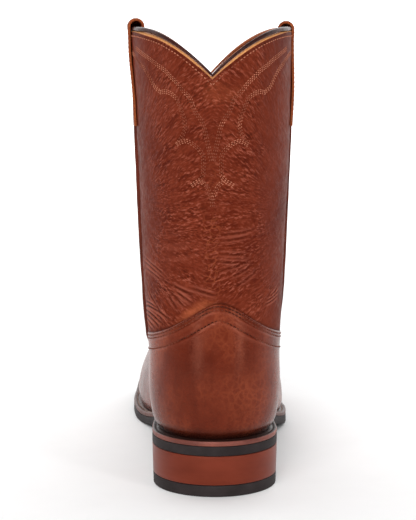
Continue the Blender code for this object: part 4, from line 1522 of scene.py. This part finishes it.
# %% Thread finishes
def thread_finish(name, dark, light, side_sheen=0.0, lit=0.0):
    """Worn, twisted thread, with a painted highlight that pales it towards the boot's sides and painted light
    that lightens it where it lies across.
    """
    thread = Finish(name, Specular_IOR_Level=0.05)
    twist = thread.noise((1.1, 1.1, 1.1), detail=2)
    worn = thread.noise((14, 14, 10), detail=2)
    tone = thread.sums("ADD", thread.times(worn, 1.5), thread.times(twist, 0.3))
    # Painted light: thread that lies across is made lighter, as if lit from above
    lying = thread.sums("SUBTRACT", 0.5, thread.mark("steep"))
    tone = thread.sums("ADD", tone, thread.times(lying, lit))
    across = thread.add("ShaderNodeSeparateXYZ", {0: thread.coords}).outputs[0]
    # Painted highlight: paler towards the boot's sides
    aside = thread.ramp(thread.sums("ABSOLUTE", across, 0.0), (0.020, 0.0), (0.034, side_sheen))
    colour = thread.ramp(thread.sums("ADD", tone, aside), (0.80, dark), (1.15, light))
    return thread.done(colour, thread.ramp(twist, (0.3, 0.5), (0.7, 0.7)))


THREAD_PINK = thread_finish("thread_pink_tan", (0.235, 0.066, 0.036), (0.460, 0.170, 0.100), lit=0.45)
THREAD_BROWN = thread_finish("thread_brown", (0.045, 0.009, 0.005), (0.150, 0.038, 0.021), 0.5)
THREAD_CREAM = thread_finish("thread_cream", (0.200, 0.120, 0.095), (0.380, 0.260, 0.210))
print("threads:", THREAD_PINK.name, THREAD_BROWN.name, THREAD_CREAM.name)

# %% Flame, collar and overlay stitches
LIFT = 0.12
FAR_ABOVE = 50.0
COLLAR_ROW = {"drop": 2.9, "steps": 721}
SEWN_SHARE = 0.96


def on_shaft(points, normals):
    """The same points, just proud of the shaft's leather."""
    relief = shaft_relief(points, np.full(len(points), FAR_ABOVE))
    return points + normals * (relief + LIFT)[:, None]


flame_rows = []
for points, normals in FLAME_PATHS:
    raised = on_shaft(points, normals)
    flame_rows += [beside(raised, normals, offset) for offset in FLAME_ROWS]
sew("flame_stitches", flame_rows, THREAD_PINK, "upper_leather", pitch=1.8, length=1.1, radius=0.28)


def collar_row():
    """Line of stitches a fixed distance below the collar."""
    angle = np.linspace(0.0, 2 * math.pi, COLLAR_ROW["steps"])
    return on_shaft(*on_skin(angle, collar_z(angle) - COLLAR_ROW["drop"] * collar_stretch(angle)))


sew("collar_stitches", [collar_row()], THREAD_PINK, "upper_leather", pitch=2.3, length=1.4, radius=0.32)


def overlay_rows(panel):
    """Lines of stitches below an overlay's top edge, in their grooves."""
    points, normals = OVERLAY_EDGES[panel]
    share = np.linspace(-1.0, 1.0, len(points))
    high = OVERLAY_OFF + (OVERLAY - ROW_GROOVE) * kept_thickness(panel, share, points[:, 2]) + LIFT
    sewn = np.abs(share) < SEWN_SHARE
    return [(beside(points, normals, -far) + normals * high[:, None])[sewn] for far in EDGE_ROWS[panel]]


sew("counter_stitches", overlay_rows("counter"), THREAD_BROWN, "counter_leather", pitch=2.3, length=1.9)
sew("vamp_stitches", overlay_rows("vamp"), THREAD_BROWN, "vamp_leather", pitch=2.3, length=1.9)

# %% Strap and welt stitches
STRAP_ROW = STRAP["half_width"] - 2.2
strap_rows = []
for side in (-1, 1):
    for across in (-STRAP_ROW, STRAP_ROW):
        strap_rows.append(strap_points(side, across, -side * (STRAP["thickness"] / 2 - 0.1), slice(2, -2)))
sew("strap_stitches", strap_rows, THREAD_PINK, "strap_leather", pitch=2.6, length=2.0, radius=0.25)

WELT_ROW = {"from": 96.0, "inset": 2.5, "share": 0.9, "lift": 0.15, "steps": 700}
sewn_from = math.acos(1 - 2 * WELT_ROW["from"] / LENGTH)
welt_angle = np.linspace(sewn_from, 2 * math.pi - sewn_from, WELT_ROW["steps"])
welt_x, welt_y = sole_outline(welt_angle, WELT_ROW["inset"])
welt_z = sole_z(welt_y) + OUTSOLE + GAP + WELT * WELT_ROW["share"] + WELT_ROW["lift"]
welt_row = np.stack((welt_x, welt_y, welt_z), axis=-1)
sew("welt_stitches", [welt_row], THREAD_CREAM, "welt_leather", pitch=4.0, length=3.2, radius=0.45)

# %% [markdown]
# Floor, light and camera
#
# The boot stands in a white studio and is seen straight from behind. The sky is bright at the horizon
# and behind the boot, dark higher up and grey overhead. A large soft light stands high behind the
# camera, a wide one lights the background, and a tall narrow light on each side gives the pale lines
# down the sides of the leather. The floor glows a little far from the boot, so that it meets the white
# background without a grey horizon.

# %% Floor
FLOOR_REACH = 2.8


def floor_finish():
    paper = Finish("pale_floor")
    speck = paper.noise((25, 25, 25), detail=2)
    far = paper.add("ShaderNodeVectorMath", {0: paper.coords}, operation="LENGTH").outputs["Value"]
    glow = paper.ramp(paper.times(far, 0.25), (0.22, 0.0), (0.50, 0.35))
    paper.feed(paper.shader, {"Emission_Color": (1.0, 1.0, 1.0, 1.0), "Emission_Strength": glow})
    colour = paper.ramp(speck, (0.3, 0.94), (0.7, 0.96))
    return paper.done(colour, paper.ramp(speck, (0.3, 0.85), (0.7, 0.95)))


floor_corners = [(x * FLOOR_REACH, y * FLOOR_REACH, 0) for x, y in ((-1, -1), (1, -1), (1, 1), (-1, 1))]
floor_mesh = bpy.data.meshes.new("studio_floor")
floor_mesh.from_pydata(floor_corners, [], [(0, 1, 2, 3)])
floor_mesh.materials.append(floor_finish())
studio_floor = bpy.data.objects.new("studio_floor", floor_mesh)
bpy.context.scene.collection.objects.link(studio_floor)
print("floor", 2 * FLOOR_REACH, "m square")

# %% Sky
SKY = ((0.0, 0.80), (0.035, 0.80), (0.09, 0.07), (0.60, 0.07), (0.80, 0.40))
SKY_STRENGTH = 1.3
scene = bpy.context.scene
scene.view_settings.view_transform = "Standard"
scene.world = bpy.data.worlds.new("white_studio")
scene.world.use_nodes = True
sky = Tree(scene.world.node_tree)
sky_place = sky.add("ShaderNodeTexCoord").outputs["Generated"]
sky_split = sky.add("ShaderNodeSeparateXYZ", {0: sky_place}).outputs


def sky_ease(axis, start, stop, top=1.0):
    """Value that eases from 0 to its top along one axis of the sky."""
    limits = {"Value": sky_split[axis], "From_Min": start, "From_Max": stop, "To_Max": top}
    return sky.add("ShaderNodeMapRange", limits, interpolation_type="SMOOTHSTEP").outputs[0]


backdrop = sky.times(sky_ease("Y", -0.12, 0.25, 1.35), sky_ease("Z", 0.65, 0.35))
sky_light = sky.sums("MAXIMUM", backdrop, sky.ramp(sky_split["Z"], *SKY))
sky.feed(sky.tree.nodes["Background"], {"Color": sky_light, "Strength": SKY_STRENGTH})
print("sky:", len(sky.tree.nodes), "nodes")

# %% Lights
BOOT_MIDDLE = (0, -0.1, 0.14)


def soft_light(name, place, aim, size, power):
    light = bpy.data.lights.new(name, "AREA")
    light.shape = "RECTANGLE"
    light.size, light.size_y = size
    light.energy = power
    lamp = bpy.data.objects.new(name, light)
    lamp.location = place
    lamp.rotation_euler = (Vector(aim) - Vector(place)).to_track_quat("-Z", "Y").to_euler()
    scene.collection.objects.link(lamp)


soft_light("overhead", (-0.7, -4.6, 2.7), BOOT_MIDDLE, (2.0, 1.4), 120)
soft_light("background", (0, 3.0, 2.4), (0, 2.99, 0), (7.0, 4.0), 150)
soft_light("left_box", (-0.72, -1.35, 0.58), BOOT_MIDDLE, (0.30, 0.95), 5)
soft_light("right_box", (0.98, -1.20, 0.58), BOOT_MIDDLE, (0.30, 0.95), 5)
print("four soft lights set")

# %% Camera
PHOTO = {"height": 520, "focal_px": 1598.8}
VIEW = {"behind": 890.0, "height": 262.0, "side": -31.1, "heading": -1.68, "down": 7.94}
camera = bpy.data.cameras.new("photo_camera")
camera.sensor_fit = "VERTICAL"
camera.angle_y = 2 * math.atan(PHOTO["height"] / 2 / PHOTO["focal_px"])
camera.clip_end = 50
photo_camera = bpy.data.objects.new("photo_camera", camera)
photo_camera.location = (np.array((VIEW["side"], -VIEW["behind"], VIEW["height"])) + SHIFT) * MM
photo_camera.rotation_euler = (math.radians(90 - VIEW["down"]), 0.0, math.radians(VIEW["heading"]))
scene.collection.objects.link(photo_camera)
scene.camera = photo_camera
print("camera %.0f mm behind the heel, lens %.1f mm" % (VIEW["behind"], camera.lens))
